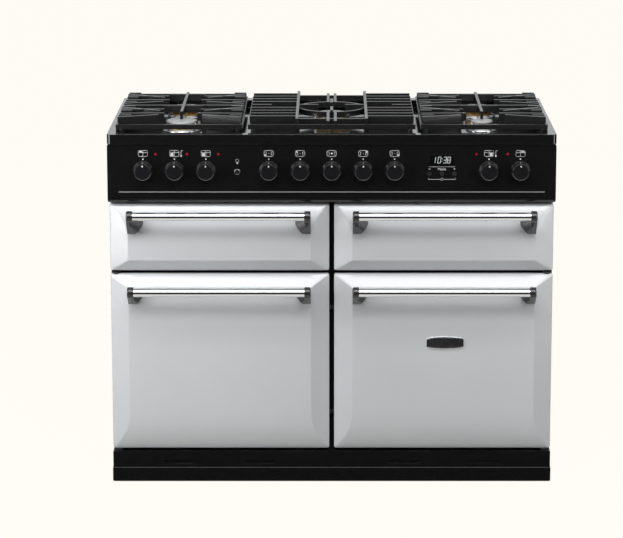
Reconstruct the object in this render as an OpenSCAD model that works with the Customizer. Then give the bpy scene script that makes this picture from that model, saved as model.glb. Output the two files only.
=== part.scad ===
// Range cooker with a gas hob over four compartments: a glide-out grill, a slow oven and two fan ovens.
// X runs to the right, Y to the back and Z up. The origin is on the floor, below the middle of the box.

/* [Body] */
// Width of the hob, the control panel and the whole cooker
cooker_w = 1100; // [1040:1:1200]
// Depth from the back panel to the front of the handles
cooker_d = 654; // [640:1:700]
// Height of the hob rim above the floor
hob_h = 884; // [880:1:900]
// How far the doors and side panels stand inside the hob's ends
body_inset = 3; // [2:0.5:6]
// Thickness of the sheet steel casing
sheet_t = 1.5; // [1:0.1:2]
// Thickness of the front frame that carries the doors
frame_t = 4; // [3:0.5:5]
// Height of the base tray above the floor
base_h = 60; // [54:1:64]

/* [Doors] */
// Height of the lower doors' bottom edge
lower_door_z = 84; // [84:1:88]
// Height of the upper fronts
upper_door_h = 168; // [164:1:170]
// Gap between the lower and the upper row
row_gap = 8.5; // [7:0.5:10]
// Gap between the upper fronts and the control panel
panel_gap = 5.7; // [5.5:0.1:8]
// Gap between the left and the right column
column_gap = 12; // [10:1:16]
// How far the raised face stands out from the door's edge
bevel_d = 24; // [18:1:26]
// Width of the bevel at each side of a door
side_bevel = 45; // [35:1:55]
// Height of the flat bevel between the two rows
row_bevel = 30; // [24:1:36]
// Height of the curve at the foot of the lower doors
foot_curve = 100; // [80:1:120]
// Height of the curve at the head of the upper fronts
head_curve = 83; // [70:1:90]
// Depth of a door's square edge
door_edge = 20; // [18:1:24]
// Corner radius of a door, seen from the front
door_corner = 5; // [3:0.5:7]
// Wall of the pressed door skin
skin_t = 2.5; // [1.5:0.1:3]
// Thickness of the skin's folded sides
skin_side = 8; // [7.5:0.5:9]
// Chamfer on the back corners of the folded sides
back_chamfer = 6; // [4:0.5:6]
// Gap between a closed door and the front frame
seal_gap = 7; // [6.5:0.5:8]

/* [Handles] */
// Radius of a handle bar
bar_r = 10.5; // [8:0.5:12]
// Distance from a door's face to the bar's axis
bar_reach = 47; // [44:1:52]
// Width of a handle over its end caps
handle_w = 450; // [400:1:470]
// Width of an end cap
cap_w = 15.5; // [12:0.5:20]
// Radius of an end cap
cap_r = 14; // [12.5:0.5:15]
// Height of the upper bars' axis below the top of the door
upper_bar_drop = 19; // [17:1:24]
// Height of the lower bars' axis below the top of the door
lower_bar_drop = 32.5; // [31:0.5:40]
// How far the feet of the upper brackets reach below the bar's axis
upper_foot_drop = 50; // [46:1:54]
// How far the feet of the lower brackets reach below the bar's axis
lower_foot_drop = 40; // [38:1:46]

/* [Control panel] */
// Height of the control panel
panel_h = 146; // [140:1:148]
// Pitch of the control knobs
knob_pitch = 77; // [74:1:82]
// Radius of a knob's skirt
knob_r = 24; // [20:0.5:26]
// How far a knob stands out from the panel
knob_l = 27; // [22:1:32]
// Radius of a control spindle
spindle_r = 4; // [3:0.5:5]
// Height of the knobs' axes below the top of the panel
knob_drop = 65; // [60:1:70]

/* [Ovens] */
// Inside width of every compartment
cavity_w = 440; // [420:2:450]
// Height of a lower oven's floor above the bottom edge of its door
oven_sill = 44; // [42:1:50]
// Depth of a lower oven's roof below the top edge of its door
oven_head = 43.5; // [43:0.5:50]
// Inside height of the upper compartments
upper_cavity_h = 104; // [98:1:106]
// Inside depth of the compartments
cavity_d = 415; // [400:1:420]
// Seam between the welded bars of the front frame
weld_seam = 0.2; // [0.1:0.05:0.3]
// Wall of an enamelled cavity
cavity_t = 2; // [1.5:0.5:3]
// Radius of the convection fans
fan_r = 75; // [60:1:80]

/* [Hob] */
// Depth of the pressed well below the hob rim
well_depth = 20; // [16:1:22]
// Height of the pan supports above the hob rim
support_rise = 28; // [26:1:32]
// Width of a pan support's cast bars
cast_w = 7; // [6:0.5:9]
// Depth of the pan supports
support_d = 459; // [440:1:470]
// Width of the left and right pan supports
side_support_w = 313; // [300:1:316]
// Distance of the outer pan supports from the hob's ends
support_end = 17; // [15:0.5:20]
// Gap between neighbouring pan supports
support_gap = 13; // [10:0.5:16]
// Distance between the front and the rear burners
burner_pitch = 217; // [205:1:225]

/* [Plinth] */
// Height of the joint between the kick plinth and the vent plinth
plinth_joint = 39; // [34:1:44]
// Gap under the kick plinth
plinth_gap = 3; // [2:1:8]

/* [Hidden] */
$fn = 64;

// Fits and small gaps
run_fit = 0.05;
seat_gap = 0.3;
cut = 1;

// Planes from front to back
back_y = cooker_d / 2;
bar_y = -cooker_d / 2 + cap_r;
face_y = bar_y + bar_reach;
edge_y = face_y + bevel_d;
door_back_y = edge_y + door_edge;
frame_y = door_back_y + seal_gap;
cavity_y = frame_y + frame_t;
cavity_end_y = cavity_y + cavity_d;

// Widths and heights
body_w = cooker_w - 2 * body_inset;
door_w = (body_w - column_gap) / 2;
door_x = (column_gap + door_w) / 2;
hob_lip_h = 24;
hob_lip_z = hob_h - hob_lip_h;
panel_top = hob_lip_z - seat_gap;
panel_z = panel_top - panel_h;
upper_top = panel_z - panel_gap;
upper_door_z = upper_top - upper_door_h;
lower_top = upper_door_z - row_gap;
oven_z = lower_door_z + oven_sill;
oven_h = lower_top - oven_head - oven_z;
upper_cavity_z = upper_door_z + 40;
knob_z = panel_top - knob_drop;
mouth_r = 12;

// Doors: liners, hinge pins, plates and arms. Lower doors turn on upright pins,
// the slow oven's on a level one
liner_t = 2;
liner_pad = 3;
pin_r = 4;
boss_l = 20;
boss_r = 8;
hinge_inset = 14;
hinge_x = door_x + door_w / 2 - hinge_inset;
hinge_y = door_back_y - hinge_inset;
hinge_clear = 0.5;
plate_t = 3.5;
slow_hinge_y = door_back_y - 14;
slow_hinge_z = upper_door_z + 15;
slow_hinge_inset = 70.5;
slow_hinge_xs = [door_x - door_w / 2 + slow_hinge_inset, door_x + door_w / 2 - slow_hinge_inset];
slow_boss_w = 34;
slow_pin_l = 26;
arm_t = 4;
arm_r = 5;
strike_h = 8;
strike_inset = 90;

// Control panel
panel_y = face_y + 6;
panel_t = 2;
hob_y = face_y + 2;
oven_knobs = [-6, -5, -4, 5, 6];
hob_knobs = [-2, -1, 0, 1, 2];
knob_steps = [-6, -5, -4, -2, -1, 0, 1, 2, 5, 6];
tap_y = frame_y + 8;
tap_l = 42;
rail_z = knob_z - 38;
rail_y = tap_y + tap_l - 10;
rail_r = 9;
gas_inlet_x = -body_w / 2 + 120;
gas_inlet_r = 12;
gas_thread_r = 9.3;
light_x = -231;
light_z = knob_z - 3;
light_r = 7;
timer_x = 270;
timer_pitch = 31;
display_w = 64;
display_h = 27;
display_z = panel_top - 53;
timer_r = 5;
timer_button_z = knob_z - 9;
lamp_r = 3;
lamp_z = panel_top - 25;
lamp_shift = 31;
lamp_xs = [for (step = oven_knobs) step * knob_pitch - sign(step) * lamp_shift];
trim_z = panel_z + 27;

// Compartments
fan_z = oven_z + oven_h / 2;
fan_gap = 32;
fan_y = cavity_end_y - cavity_t - fan_gap / 2;
carriage_z = upper_cavity_z + 20;
shelf_heights = [110, 230];
slow_shelf_heights = [26];
rack_y0 = cavity_y + 30;
rack_l = cavity_d - 30 - fan_gap - 34;
wire_r = 2.5;
rail_h = 12;

// Hob
well_z = hob_h - well_depth;
hob_t = 2;
rim_w = 22;
rear_rim_w = 40;
support_y0 = face_y + 73;
support_y = support_y0 + support_d / 2;
support_z = hob_h + support_rise;
cast_frame_z = support_z - 15;
cast_base_z = hob_h + 1;
side_support_x = cooker_w / 2 - support_end - side_support_w / 2;
middle_support_w = 2 * (side_support_x - side_support_w / 2 - support_gap);
base_cap_z = well_z + 20;
// Each burner: X, Y, radius of its cap, radius of its base ring
front_burner_y = support_y - burner_pitch / 2;
rear_burner_y = support_y + burner_pitch / 2;
burners = [
  [-side_support_x, front_burner_y, 40, 51], [-side_support_x, rear_burner_y, 38.5, 48],
  [0, support_y, 47, 66],
  [side_support_x, rear_burner_y, 38.5, 48], [side_support_x, front_burner_y, 28, 40]
];

// Feet and plinth
foot_stud_r = 5;
foot_r = 20;
foot_side = 67;
foot_front = 70;
foot_back = 55;
foot_x = body_w / 2 - foot_side;
foot_places = [for (x = [-foot_x, foot_x], y = [frame_y + foot_front, back_y - foot_back]) [x, y]];
kick_y = face_y + 8;
vent_y = kick_y + 5;
vent_top = lower_door_z - hinge_clear - plate_t - 1;
vent_slot = [85, 9.5];
vent_slot_xs = [-381, -181, 181, 381];

// Colours, as the cooker shows them
enamel = "silver";
black = [0.05, 0.05, 0.055];
casing = [0.18, 0.18, 0.19];
steel = [0.75, 0.76, 0.78];
brass = [0.78, 0.6, 0.25];
iron = [0.12, 0.12, 0.12];

// A box from one corner to the opposite one
module block(from, to) {
  translate(from) cube([for (i = [0:2]) to[i] - from[i]]);
}

// A rounded rectangle with its lower left corner at the origin
module rounded_rect(w, h, r) {
  translate([r, 0]) square([w - 2 * r, h]);
  translate([0, r]) square([w, h - 2 * r]);
  for (x = [r, w - r], y = [r, h - r]) translate([x, y]) circle(r);
}

// A plate that faces the front: rounded corners in X and Z, thickness along Y
module front_plate(x, z, w, h, r, y0, y1) {
  translate([x, y1, z]) rotate([90, 0, 0]) linear_extrude(y1 - y0) rounded_rect(w, h, r);
}

// An outline in Y and Z, drawn along X
module side_profile(x, w) {
  translate([x, 0, 0]) rotate([90, 0, 90]) linear_extrude(w) children();
}

// Casing

module base_tray() {
  front = frame_y + frame_t;
  half = body_w / 2 - sheet_t;
  color(casing) difference() {
    block([-half, front, base_h], [half, back_y - 2 * sheet_t, base_h + 25]);
    block([-half + sheet_t, front + sheet_t, base_h + sheet_t],
          [half - sheet_t, back_y - 3 * sheet_t, base_h + 25 + cut]);
    for (p = foot_places) translate([p[0], p[1], base_h - cut])
      cylinder(h = sheet_t + 2 * cut, r = foot_stud_r + 0.3);
  }
}

module side_panels() {
  fold = 12;
  color(casing) for (side = [-1, 1]) difference() {
    x0 = side > 0 ? body_w / 2 - fold : -body_w / 2;
    inner = side > 0 ? x0 - cut : x0 + sheet_t;
    block([x0, frame_y, 22], [x0 + fold, back_y - sheet_t, hob_lip_z - seat_gap]);
    // The folded edges at the front and back keep the panel stiff
    block([inner, frame_y + frame_t, 22 - cut],
          [inner + fold - sheet_t + cut, back_y - 2 * sheet_t, hob_h]);
    block([inner, frame_y - cut, 22 - cut], [inner + fold - sheet_t + cut, frame_y + frame_t + cut, hob_h]);
  }
}

module back_panel() {
  louvre = [60, 6];
  color(casing) difference() {
    block([-body_w / 2, back_y - sheet_t, base_h], [body_w / 2, back_y, hob_lip_z - seat_gap]);
    for (side = [-1, 1], row = [0:5], column = [-1:1])
      front_plate(side * door_x + column * 90 - louvre[0] / 2, oven_z + oven_h / 2 + (row - 2.5) * 18,
                  louvre[0], louvre[1], louvre[1] / 2 - 0.1, back_y - sheet_t - cut, back_y + cut);
    translate([gas_inlet_x, back_y + cut, rail_z]) rotate([90, 0, 0])
      cylinder(h = 4, r = gas_inlet_r + seat_gap);
  }
}

// Three full-height stiles with rails welded between them, so the mouths have square corners here
module front_frame() {
  half = body_w / 2 - sheet_t;
  top = panel_z + 20;
  edge_x = [-half, -door_x - cavity_w / 2, cavity_w / 2 - door_x, door_x - cavity_w / 2, door_x + cavity_w / 2, half];
  level = [base_h, oven_z, oven_z + oven_h, upper_cavity_z, upper_cavity_z + upper_cavity_h, top];
  color(black) {
    for (i = [0, 2, 4]) block([edge_x[i], frame_y, base_h], [edge_x[i + 1], cavity_y, top]);
    for (i = [1, 3], j = [0, 2, 4])
      block([edge_x[i] + weld_seam, frame_y, level[j]], [edge_x[i + 1] - weld_seam, cavity_y, level[j + 1]]);
  }
}

// An enamelled box with its mouth flange against the back of the front frame
module cavity(side, z, h) {
  flange = 10;
  x = side * door_x - cavity_w / 2;
  color([0.1, 0.1, 0.12]) difference() {
    union() {
      front_plate(x - cavity_t, z - cavity_t, cavity_w + 2 * cavity_t, h + 2 * cavity_t, mouth_r + cavity_t,
                  cavity_y, cavity_end_y);
      front_plate(x - flange, z - flange, cavity_w + 2 * flange, h + 2 * flange, mouth_r,
                  cavity_y, cavity_y + cavity_t);
    }
    front_plate(x, z, cavity_w, h, mouth_r, cavity_y - cut, cavity_end_y - cavity_t);
    children();
  }
}

module grill_cavity() { cavity(-1, upper_cavity_z, upper_cavity_h); }
module slow_oven_cavity() { cavity(1, upper_cavity_z, upper_cavity_h); }

module oven_cavity(side) {
  cavity(side, oven_z, oven_h)
    translate([side * door_x, cavity_end_y + cut, fan_z]) rotate([90, 0, 0])
      cylinder(h = 2 * cavity_t + cut, r = 8);
}
module left_oven_cavity() { oven_cavity(-1); }
module right_oven_cavity() { oven_cavity(1); }

// Doors

// The solid outline of a door: flat bevels at the sides and towards the other row, and a long
// curve at the far end. inset shrinks it all round, which gives the hollow inside the pressed skin.
module door_form(side, z0, z1, curve_at_foot, inset = 0, side_inset = 0) {
  curve = curve_at_foot ? foot_curve : head_curve;
  curve_r = (curve * curve + bevel_d * bevel_d) / (2 * bevel_d);
  steps = 14;
  face = face_y + inset;
  rim = edge_y + inset;
  back = inset > 0 ? door_back_y + cut : door_back_y;
  x0 = side * door_x - door_w / 2 + side_inset;
  x1 = side * door_x + door_w / 2 - side_inset;
  low = z0 + inset;
  high = z1 - inset;
  flat_end = curve_at_foot ? z1 - row_bevel : z0 + row_bevel;
  // The curve falls back from the flat of the face to the rim at the end of the door
  reach = curve - inset;
  arc = [for (i = [0:steps]) let (run = reach * i / steps)
           [face + curve_r - sqrt(curve_r * curve_r - run * run), run]];
  foot_arc = [for (i = [steps:-1:0]) [arc[i][0], z0 + curve - arc[i][1]]];
  head_arc = [for (i = [0:steps]) [arc[i][0], z1 - curve + arc[i][1]]];
  intersection() {
    side_profile(x0, x1 - x0) polygon(curve_at_foot
      ? concat([[back, low]], foot_arc, [[face, flat_end], [rim, high], [back, high]])
      : concat([[back, low], [rim, low], [face, flat_end]], head_arc, [[back, high]]));
    translate([0, 0, z0 - cut]) linear_extrude(z1 - z0 + 2 * cut) polygon(inset > 0
      ? [[x0, rim], [x0 + side_bevel, face], [x1 - side_bevel, face], [x1, rim], [x1, back], [x0, back]]
      : [[x0, rim], [x0 + side_bevel, face], [x1 - side_bevel, face], [x1, rim],
         [x1, back - back_chamfer], [x1 - back_chamfer, back],
         [x0 + back_chamfer, back], [x0, back - back_chamfer]]);
    front_plate(x0, low, x1 - x0, high - low, door_corner, face_y - cut, door_back_y + 2 * cut);
  }
}

module door_skin(side, z0, z1, curve_at_foot) {
  difference() {
    door_form(side, z0, z1, curve_at_foot);
    door_form(side, z0, z1, curve_at_foot, skin_t, skin_side);
  }
}

// The liner closes the back of a door. Its raised middle stands inside the seal.
module door_liner(side, z0, z1, mouth_z, mouth_h) {
  w = door_w - 2 * skin_side;
  pad = 12;
  color(black) union() {
    front_plate(side * door_x - w / 2, z0 + skin_t, w, z1 - z0 - 2 * skin_t, door_corner,
                door_back_y - liner_t, door_back_y);
    front_plate(side * door_x - cavity_w / 2 + pad, mouth_z + pad,
                cavity_w - 2 * pad, mouth_h - 2 * pad, mouth_r,
                door_back_y - cut, door_back_y + liner_pad);
  }
}

// A boss inside the skin that turns on a hinge pin, from its flat end inwards
module hinge_boss(side, z_end, inwards) {
  translate([side * hinge_x, hinge_y, z_end]) mirror([0, 0, inwards > 0 ? 0 : 1])
    cylinder(h = boss_l, r = boss_r);
}

module pin_bore(side, z_end, inwards) {
  translate([side * hinge_x, hinge_y, z_end - inwards * cut]) mirror([0, 0, inwards > 0 ? 0 : 1])
    cylinder(h = boss_l - 1, r = pin_r + run_fit);
}

module lower_door_skin(side) {
  color(enamel) difference() {
    union() {
      door_skin(side, lower_door_z, lower_top, true);
      hinge_boss(side, lower_door_z, 1);
      hinge_boss(side, lower_top, -1);
    }
    pin_bore(side, lower_door_z, 1);
    pin_bore(side, lower_top, -1);
  }
}
module left_door_skin() { lower_door_skin(-1); }
module right_door_skin() { lower_door_skin(1); }

module lower_door_liner(side) {
  difference() {
    door_liner(side, lower_door_z, lower_top, oven_z, oven_h);
    for (z = [lower_door_z, lower_top]) translate([side * hinge_x, hinge_y, z - boss_l])
      cylinder(h = 2 * boss_l, r = boss_r + 0.01);
  }
}
module left_door_liner() { lower_door_liner(-1); }
module right_door_liner() { lower_door_liner(1); }

// The slot in the drop-down door that a hinge arm stands in
module arm_slot(x) {
  slack = 1;
  block([x - arm_t / 2 - slack, slow_hinge_y - arm_r - slack, upper_door_z - cut],
        [x + arm_t / 2 + slack, door_back_y + liner_pad + cut, slow_hinge_z + arm_r + slack]);
}

module slow_door_skin() {
  color(enamel) difference() {
    union() {
      door_skin(1, upper_door_z, upper_top, false);
      intersection() {
        door_form(1, upper_door_z, upper_top, false);
        for (x = slow_hinge_xs) block([x - slow_boss_w / 2, slow_hinge_y - 9, upper_door_z + 1],
                                      [x + slow_boss_w / 2, door_back_y - liner_t, slow_hinge_z + 9]);
      }
    }
    for (x = slow_hinge_xs) {
      arm_slot(x);
      translate([x - slow_pin_l / 2 - 0.2, slow_hinge_y, slow_hinge_z]) rotate([0, 90, 0])
        cylinder(h = slow_pin_l + 0.4, r = pin_r + run_fit);
    }
  }
}

module slow_door_liner() {
  difference() {
    door_liner(1, upper_door_z, upper_top, upper_cavity_z, upper_cavity_h);
    for (x = slow_hinge_xs) arm_slot(x);
  }
}

module grill_front_skin() { color(enamel) door_skin(-1, upper_door_z, upper_top, false); }

// Two bent brackets hold a polished bar between their end caps
module handle(side, z, drop, door_z0, door_z1, curve_at_foot) {
  x0 = side * door_x - handle_w / 2;
  color(steel) translate([x0 + cap_w, bar_y, z]) rotate([0, 90, 0])
    cylinder(h = handle_w - 2 * cap_w, r = bar_r);
  color(black) difference() {
    for (turn = [0, 1])
      translate([side * door_x, 0, 0]) mirror([turn, 0, 0]) translate([-handle_w / 2, 0, 0])
      bracket(z, drop);
    door_form(side, door_z0, door_z1, curve_at_foot);
  }
}

// One bracket: a round cap that flows into an arm, which widens inwards to its foot on the door
module bracket(z, drop) {
  foot_w = 36;
  foot_h = 34;
  reach = face_y + bevel_d / 2;
  intersection() {
    side_profile(0, foot_w) union() {
      translate([bar_y, z]) circle(cap_r);
      polygon([[bar_y - cap_r + 1, z - 5], [face_y - 14, z - drop], [reach, z - drop],
               [reach, z - drop + foot_h], [face_y - 14, z - drop + foot_h], [bar_y, z + cap_r - 1]]);
    }
    translate([0, 0, z - 2 * drop]) linear_extrude(4 * drop) polygon([
      [0, bar_y - 3 * cap_r], [cap_w, bar_y - 3 * cap_r], [cap_w, bar_y + bar_r + 1],
      [foot_w, face_y], [foot_w, reach], [0, reach]]);
  }
}

module left_door_handle() {
  handle(-1, lower_top - lower_bar_drop, lower_foot_drop, lower_door_z, lower_top, true);
}
module right_door_handle() {
  handle(1, lower_top - lower_bar_drop, lower_foot_drop, lower_door_z, lower_top, true);
}
module slow_door_handle() {
  handle(1, upper_top - upper_bar_drop, upper_foot_drop, upper_door_z, upper_top, false);
}
module grill_handle() {
  handle(-1, upper_top - upper_bar_drop, upper_foot_drop, upper_door_z, upper_top, false);
}

// Hinge plates with their pins for the lower doors, hinge arms for the slow oven
// and the strikes of the catches
module door_hinges() {
  color(steel) {
    for (side = [-1, 1]) {
      hinge_plate(side, lower_door_z - hinge_clear - plate_t, 1);
      hinge_plate(side, lower_top + hinge_clear, -1);
      x = side > 0 ? 1 : -5;
      for (z = [lower_door_z + strike_inset, lower_top - strike_inset])
        block([x, frame_y - 12, z - strike_h / 2], [x + 4, frame_y, z + strike_h / 2]);
    }
    for (x = slow_hinge_xs) {
      side_profile(x - arm_t / 2, arm_t) union() {
        translate([slow_hinge_y, slow_hinge_z]) circle(arm_r);
        translate([slow_hinge_y, slow_hinge_z - arm_r]) square([frame_y - slow_hinge_y, 2 * arm_r]);
      }
      for (end = [-1, 1])
        translate([x + end * arm_t / 2, slow_hinge_y, slow_hinge_z]) rotate([0, end * 90, 0])
        cylinder(h = (slow_pin_l - arm_t) / 2, r = pin_r);
    }
  }
}

module hinge_plate(side, z, pin_up) {
  ear_r = 9;
  union() {
    block([side * hinge_x - ear_r, hinge_y, z], [side * hinge_x + ear_r, frame_y, z + plate_t]);
    translate([side * hinge_x, hinge_y, z]) cylinder(h = plate_t, r = ear_r);
    translate([side * hinge_x, hinge_y, pin_up > 0 ? z : z + plate_t]) mirror([0, 0, pin_up > 0 ? 0 : 1])
      cylinder(h = plate_t + hinge_clear + boss_l - 4, r = pin_r);
  }
}

// Square-section rubber rings on the front frame
module door_seals() {
  lip = 9;
  w = cavity_w + 2 * lip;
  mouths = [[-1, oven_z, oven_h], [1, oven_z, oven_h], [1, upper_cavity_z, upper_cavity_h]];
  color([0.1, 0.1, 0.1]) for (m = mouths)
    difference() {
      front_plate(m[0] * door_x - w / 2, m[1] - lip, w, m[2] + 2 * lip, mouth_r + lip,
                  frame_y - seal_gap + seat_gap, frame_y);
      front_plate(m[0] * door_x - cavity_w / 2 - 1, m[1] - 1, cavity_w + 2, m[2] + 2, mouth_r + 1,
                  frame_y - seal_gap - cut, frame_y + cut);
    }
}

// Control panel

module control_panel() {
  half = cooker_w / 2;
  depth = frame_y - panel_y;
  color(black) difference() {
    intersection() {
      front_plate(-half, panel_z, cooker_w, panel_h, 6, panel_y - cut, frame_y);
      side_profile(-half, cooker_w) union() {
        translate([panel_y, panel_z + 8]) square([depth, panel_h - 8]);
        translate([panel_y + 8, panel_z]) square([depth - 8, panel_h]);
        translate([panel_y + 8, panel_z + 8]) circle(8);
      }
    }
    block([-half + panel_t, panel_y + panel_t, panel_z + panel_t],
          [half - panel_t, frame_y + cut, panel_top - panel_t]);
    for (step = knob_steps) panel_hole(step * knob_pitch, knob_z, spindle_r + 0.5);
    panel_hole(light_x, light_z, light_r + 0.3);
    for (i = [-1:1]) panel_hole(timer_x + i * timer_pitch, timer_button_z, timer_r + 0.3);
    for (x = lamp_xs) panel_hole(x, lamp_z, lamp_r + 0.2);
    front_plate(timer_x - display_w / 2, display_z, display_w, display_h, 2,
                panel_y - cut, panel_y + panel_t + cut);
    block([-half + 27, panel_y - cut, trim_z - 1.2], [half - 27, panel_y + 0.8, trim_z + 1.2]);
  }
}

module panel_hole(x, z, r) {
  translate([x, panel_y + panel_t + cut, z]) rotate([90, 0, 0]) cylinder(h = panel_t + 2 * cut, r = r);
}

// A bright strip let into the panel's face
module fascia_trim() {
  half = cooker_w / 2 - 27;
  color(steel) block([-half, panel_y - 0.8, trim_z - 1.2], [half, panel_y + 0.8, trim_z + 1.2]);
}

// A dark window with a rear flange
module timer_display() {
  color([0.02, 0.02, 0.02]) union() {
    front_plate(timer_x - display_w / 2, display_z, display_w, display_h, 2,
                panel_y - 0.4, panel_y + panel_t);
    front_plate(timer_x - display_w / 2 - 4, display_z - 3, display_w + 8, display_h + 6, 2,
                panel_y + panel_t, panel_y + panel_t + 8);
  }
}

module indicator_lamps() {
  color("red") for (x = lamp_xs) translate([x, panel_y + panel_t + 8, lamp_z]) rotate([90, 0, 0]) union() {
    cylinder(h = 8, r = lamp_r + 1.5);
    cylinder(h = 8 + panel_t + 0.6, r = lamp_r);
  }
}

// A knob is a revolved cap on its own spindle, which reaches back into a gas tap or an oven control
module knob(step) {
  gap = 1;
  face = knob_r - 2.5;
  translate([step * knob_pitch, panel_y - gap, knob_z]) rotate([90, 0, 0]) {
    color(black) rotate_extrude() polygon([
      [spindle_r + 0.5, 0], [knob_r, 0], [knob_r, 4], [face + 0.8, 6],
      [face, knob_l - 4], [face - 2.5, knob_l - gap],
      [0, knob_l - gap - 0.6], [0, 14], [spindle_r + 0.5, 14]]);
    reach = tap_y + 22 - panel_y + gap;
    color(steel) translate([0, 0, -reach]) cylinder(h = reach + 14, r = spindle_r);
  }
}
module knob_1() { knob(knob_steps[0]); }
module knob_2() { knob(knob_steps[1]); }
module knob_3() { knob(knob_steps[2]); }
module knob_4() { knob(knob_steps[3]); }
module knob_5() { knob(knob_steps[4]); }
module knob_6() { knob(knob_steps[5]); }
module knob_7() { knob(knob_steps[6]); }
module knob_8() { knob(knob_steps[7]); }
module knob_9() { knob(knob_steps[8]); }
module knob_10() { knob(knob_steps[9]); }

// A push button with the collar that keeps it behind the panel
module push_button(x, z, r, proud) {
  translate([x, panel_y + panel_t + seat_gap, z]) rotate([90, 0, 0]) union() {
    translate([0, 0, -4]) cylinder(h = 4, r = r + 1.5);
    cylinder(h = panel_t + seat_gap + proud, r = r);
  }
}
module light_button() { color(steel) push_button(light_x, light_z, light_r, 4); }
module timer_button(place) {
  color(black) push_button(timer_x + place * timer_pitch, timer_button_z, timer_r, 1.8);
}
module timer_minus_button() { timer_button(-1); }
module timer_mode_button() { timer_button(0); }
module timer_plus_button() { timer_button(1); }

// Socket for a spindle, from the front of a tap or control
module spindle_socket(step) {
  translate([step * knob_pitch, tap_y + 25, knob_z]) rotate([90, 0, 0])
    cylinder(h = 25 + cut, r = spindle_r + run_fit);
}

// The gas rail with its five taps, and the pipe that leaves at the back
module gas_rail() {
  color(brass) difference() {
    union() {
      translate([gas_inlet_x, rail_y, rail_z]) {
        rotate([0, 90, 0]) cylinder(h = 2.6 * knob_pitch - gas_inlet_x, r = rail_r);
        rotate([-90, 0, 0]) cylinder(h = back_y - rail_y, r = gas_inlet_r);
        sphere(gas_inlet_r);
      }
      for (step = hob_knobs) {
        x = step * knob_pitch;
        block([x - 13, tap_y, knob_z - 15], [x + 13, tap_y + tap_l, knob_z + 15]);
        block([x - 7, tap_y + 14, rail_z - 4], [x + 7, tap_y + tap_l - 4, knob_z]);
      }
    }
    for (step = hob_knobs) spindle_socket(step);
    translate([gas_inlet_x, back_y + cut, rail_z]) rotate([90, 0, 0])
      cylinder(h = 15 + cut, r = gas_thread_r);
  }
}

// Thermostats and selectors behind the oven knobs, the light switch and the timer's switches
module oven_controls() {
  color("dimgray") {
    for (step = oven_knobs) difference() {
      x = step * knob_pitch;
      block([x - 20, tap_y, knob_z - 20], [x + 20, tap_y + 36, knob_z + 20]);
      spindle_socket(step);
    }
    switch_y = panel_y + panel_t + seat_gap + 4 + 4;
    block([light_x - 12, switch_y, light_z - 12], [light_x + 12, switch_y + 20, light_z + 12]);
    block([timer_x - 40, switch_y, timer_button_z - 9], [timer_x + 40, switch_y + 14, timer_button_z + 9]);
    // Bent straps tie both switches to the cross rail
    for (s = [[light_x, light_z], [timer_x, timer_button_z]]) {
      block([s[0] - 8, switch_y + 13, s[1] - 2], [s[0] + 8, tap_y + 38, s[1] + 2]);
      block([s[0] - 8, tap_y + 36, s[1] - 2], [s[0] + 8, tap_y + 38, knob_z + 23]);
    }
    // A cross rail from side to side carries the controls
    block([-body_w / 2 + sheet_t, tap_y + 36, knob_z + 22], [body_w / 2 - sheet_t, tap_y + 38, knob_z + 40]);
    for (step = oven_knobs) {
      x = step * knob_pitch;
      block([x - 15, tap_y + 36, knob_z - 15], [x + 15, tap_y + 38, knob_z + 22]);
    }
  }
}

// Ovens

// A round wire between two points, along X, Y or Z
module wire(from, along, length, r) {
  turn = along == "x" ? [0, 90, 0] : along == "y" ? [-90, 0, 0] : [0, 0, 0];
  translate(from) rotate(turn) cylinder(h = length, r = r);
}

// Side ladders and wire shelves: two in each lower oven and one in the slow oven
module oven_racks() {
  color(steel) {
    for (side = [-1, 1]) {
      ladders(side, oven_z, oven_h, shelf_heights);
      for (z = shelf_heights) shelf(side, oven_z + z);
    }
    ladders(1, upper_cavity_z, upper_cavity_h, slow_shelf_heights);
    shelf(1, upper_cavity_z + slow_shelf_heights[0]);
    // The runners that carry the grill's carriage
    for (hand = [-1, 1]) {
      wall = -door_x + hand * cavity_w / 2;
      inner = wall - hand * 18;
      step = wall - hand * 5.7;
      low = carriage_z - 2.3;
      block([min(wall, step), cavity_y + 10, low], [max(wall, step), cavity_end_y - 40, carriage_z + rail_h]);
      block([min(wall, inner), cavity_y + 10, low], [max(wall, inner), cavity_end_y - 40, low + 2]);
    }
  }
}

module ladders(side, z, h, heights) {
  for (hand = [-1, 1]) {
    x = side * door_x + hand * (cavity_w / 2 - wire_r - seat_gap);
    inner = x - hand * 3.5 * wire_r;
    union() {
      for (y = [rack_y0 + 30, rack_y0 + rack_l - 30])
        wire([x, y, z + mouth_r - 2], "z", h - 2 * mouth_r + 4, wire_r);
      for (step = heights) {
        wire([inner, rack_y0, z + step - 2 * wire_r], "y", rack_l, wire_r);
        for (y = [rack_y0 + 30, rack_y0 + rack_l - 30])
          wire([min(x, inner), y, z + step - 2 * wire_r], "x", abs(x - inner), wire_r);
      }
    }
  }
}

// A shelf lies on its runners: a round frame with bars from front to back
module shelf(side, z) {
  half = cavity_w / 2 - 4 * wire_r - 1;
  x0 = side * door_x - half;
  bars = 11;
  top = z - wire_r + seat_gap + 2.8;
  union() {
    for (y = [rack_y0, rack_y0 + rack_l]) wire([x0, y, top], "x", 2 * half, 2.8);
    for (i = [0:bars])
      wire([x0 + i * 2 * half / bars, rack_y0, top], "y", rack_l, i % bars == 0 ? wire_r : 1.6);
  }
}

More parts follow.
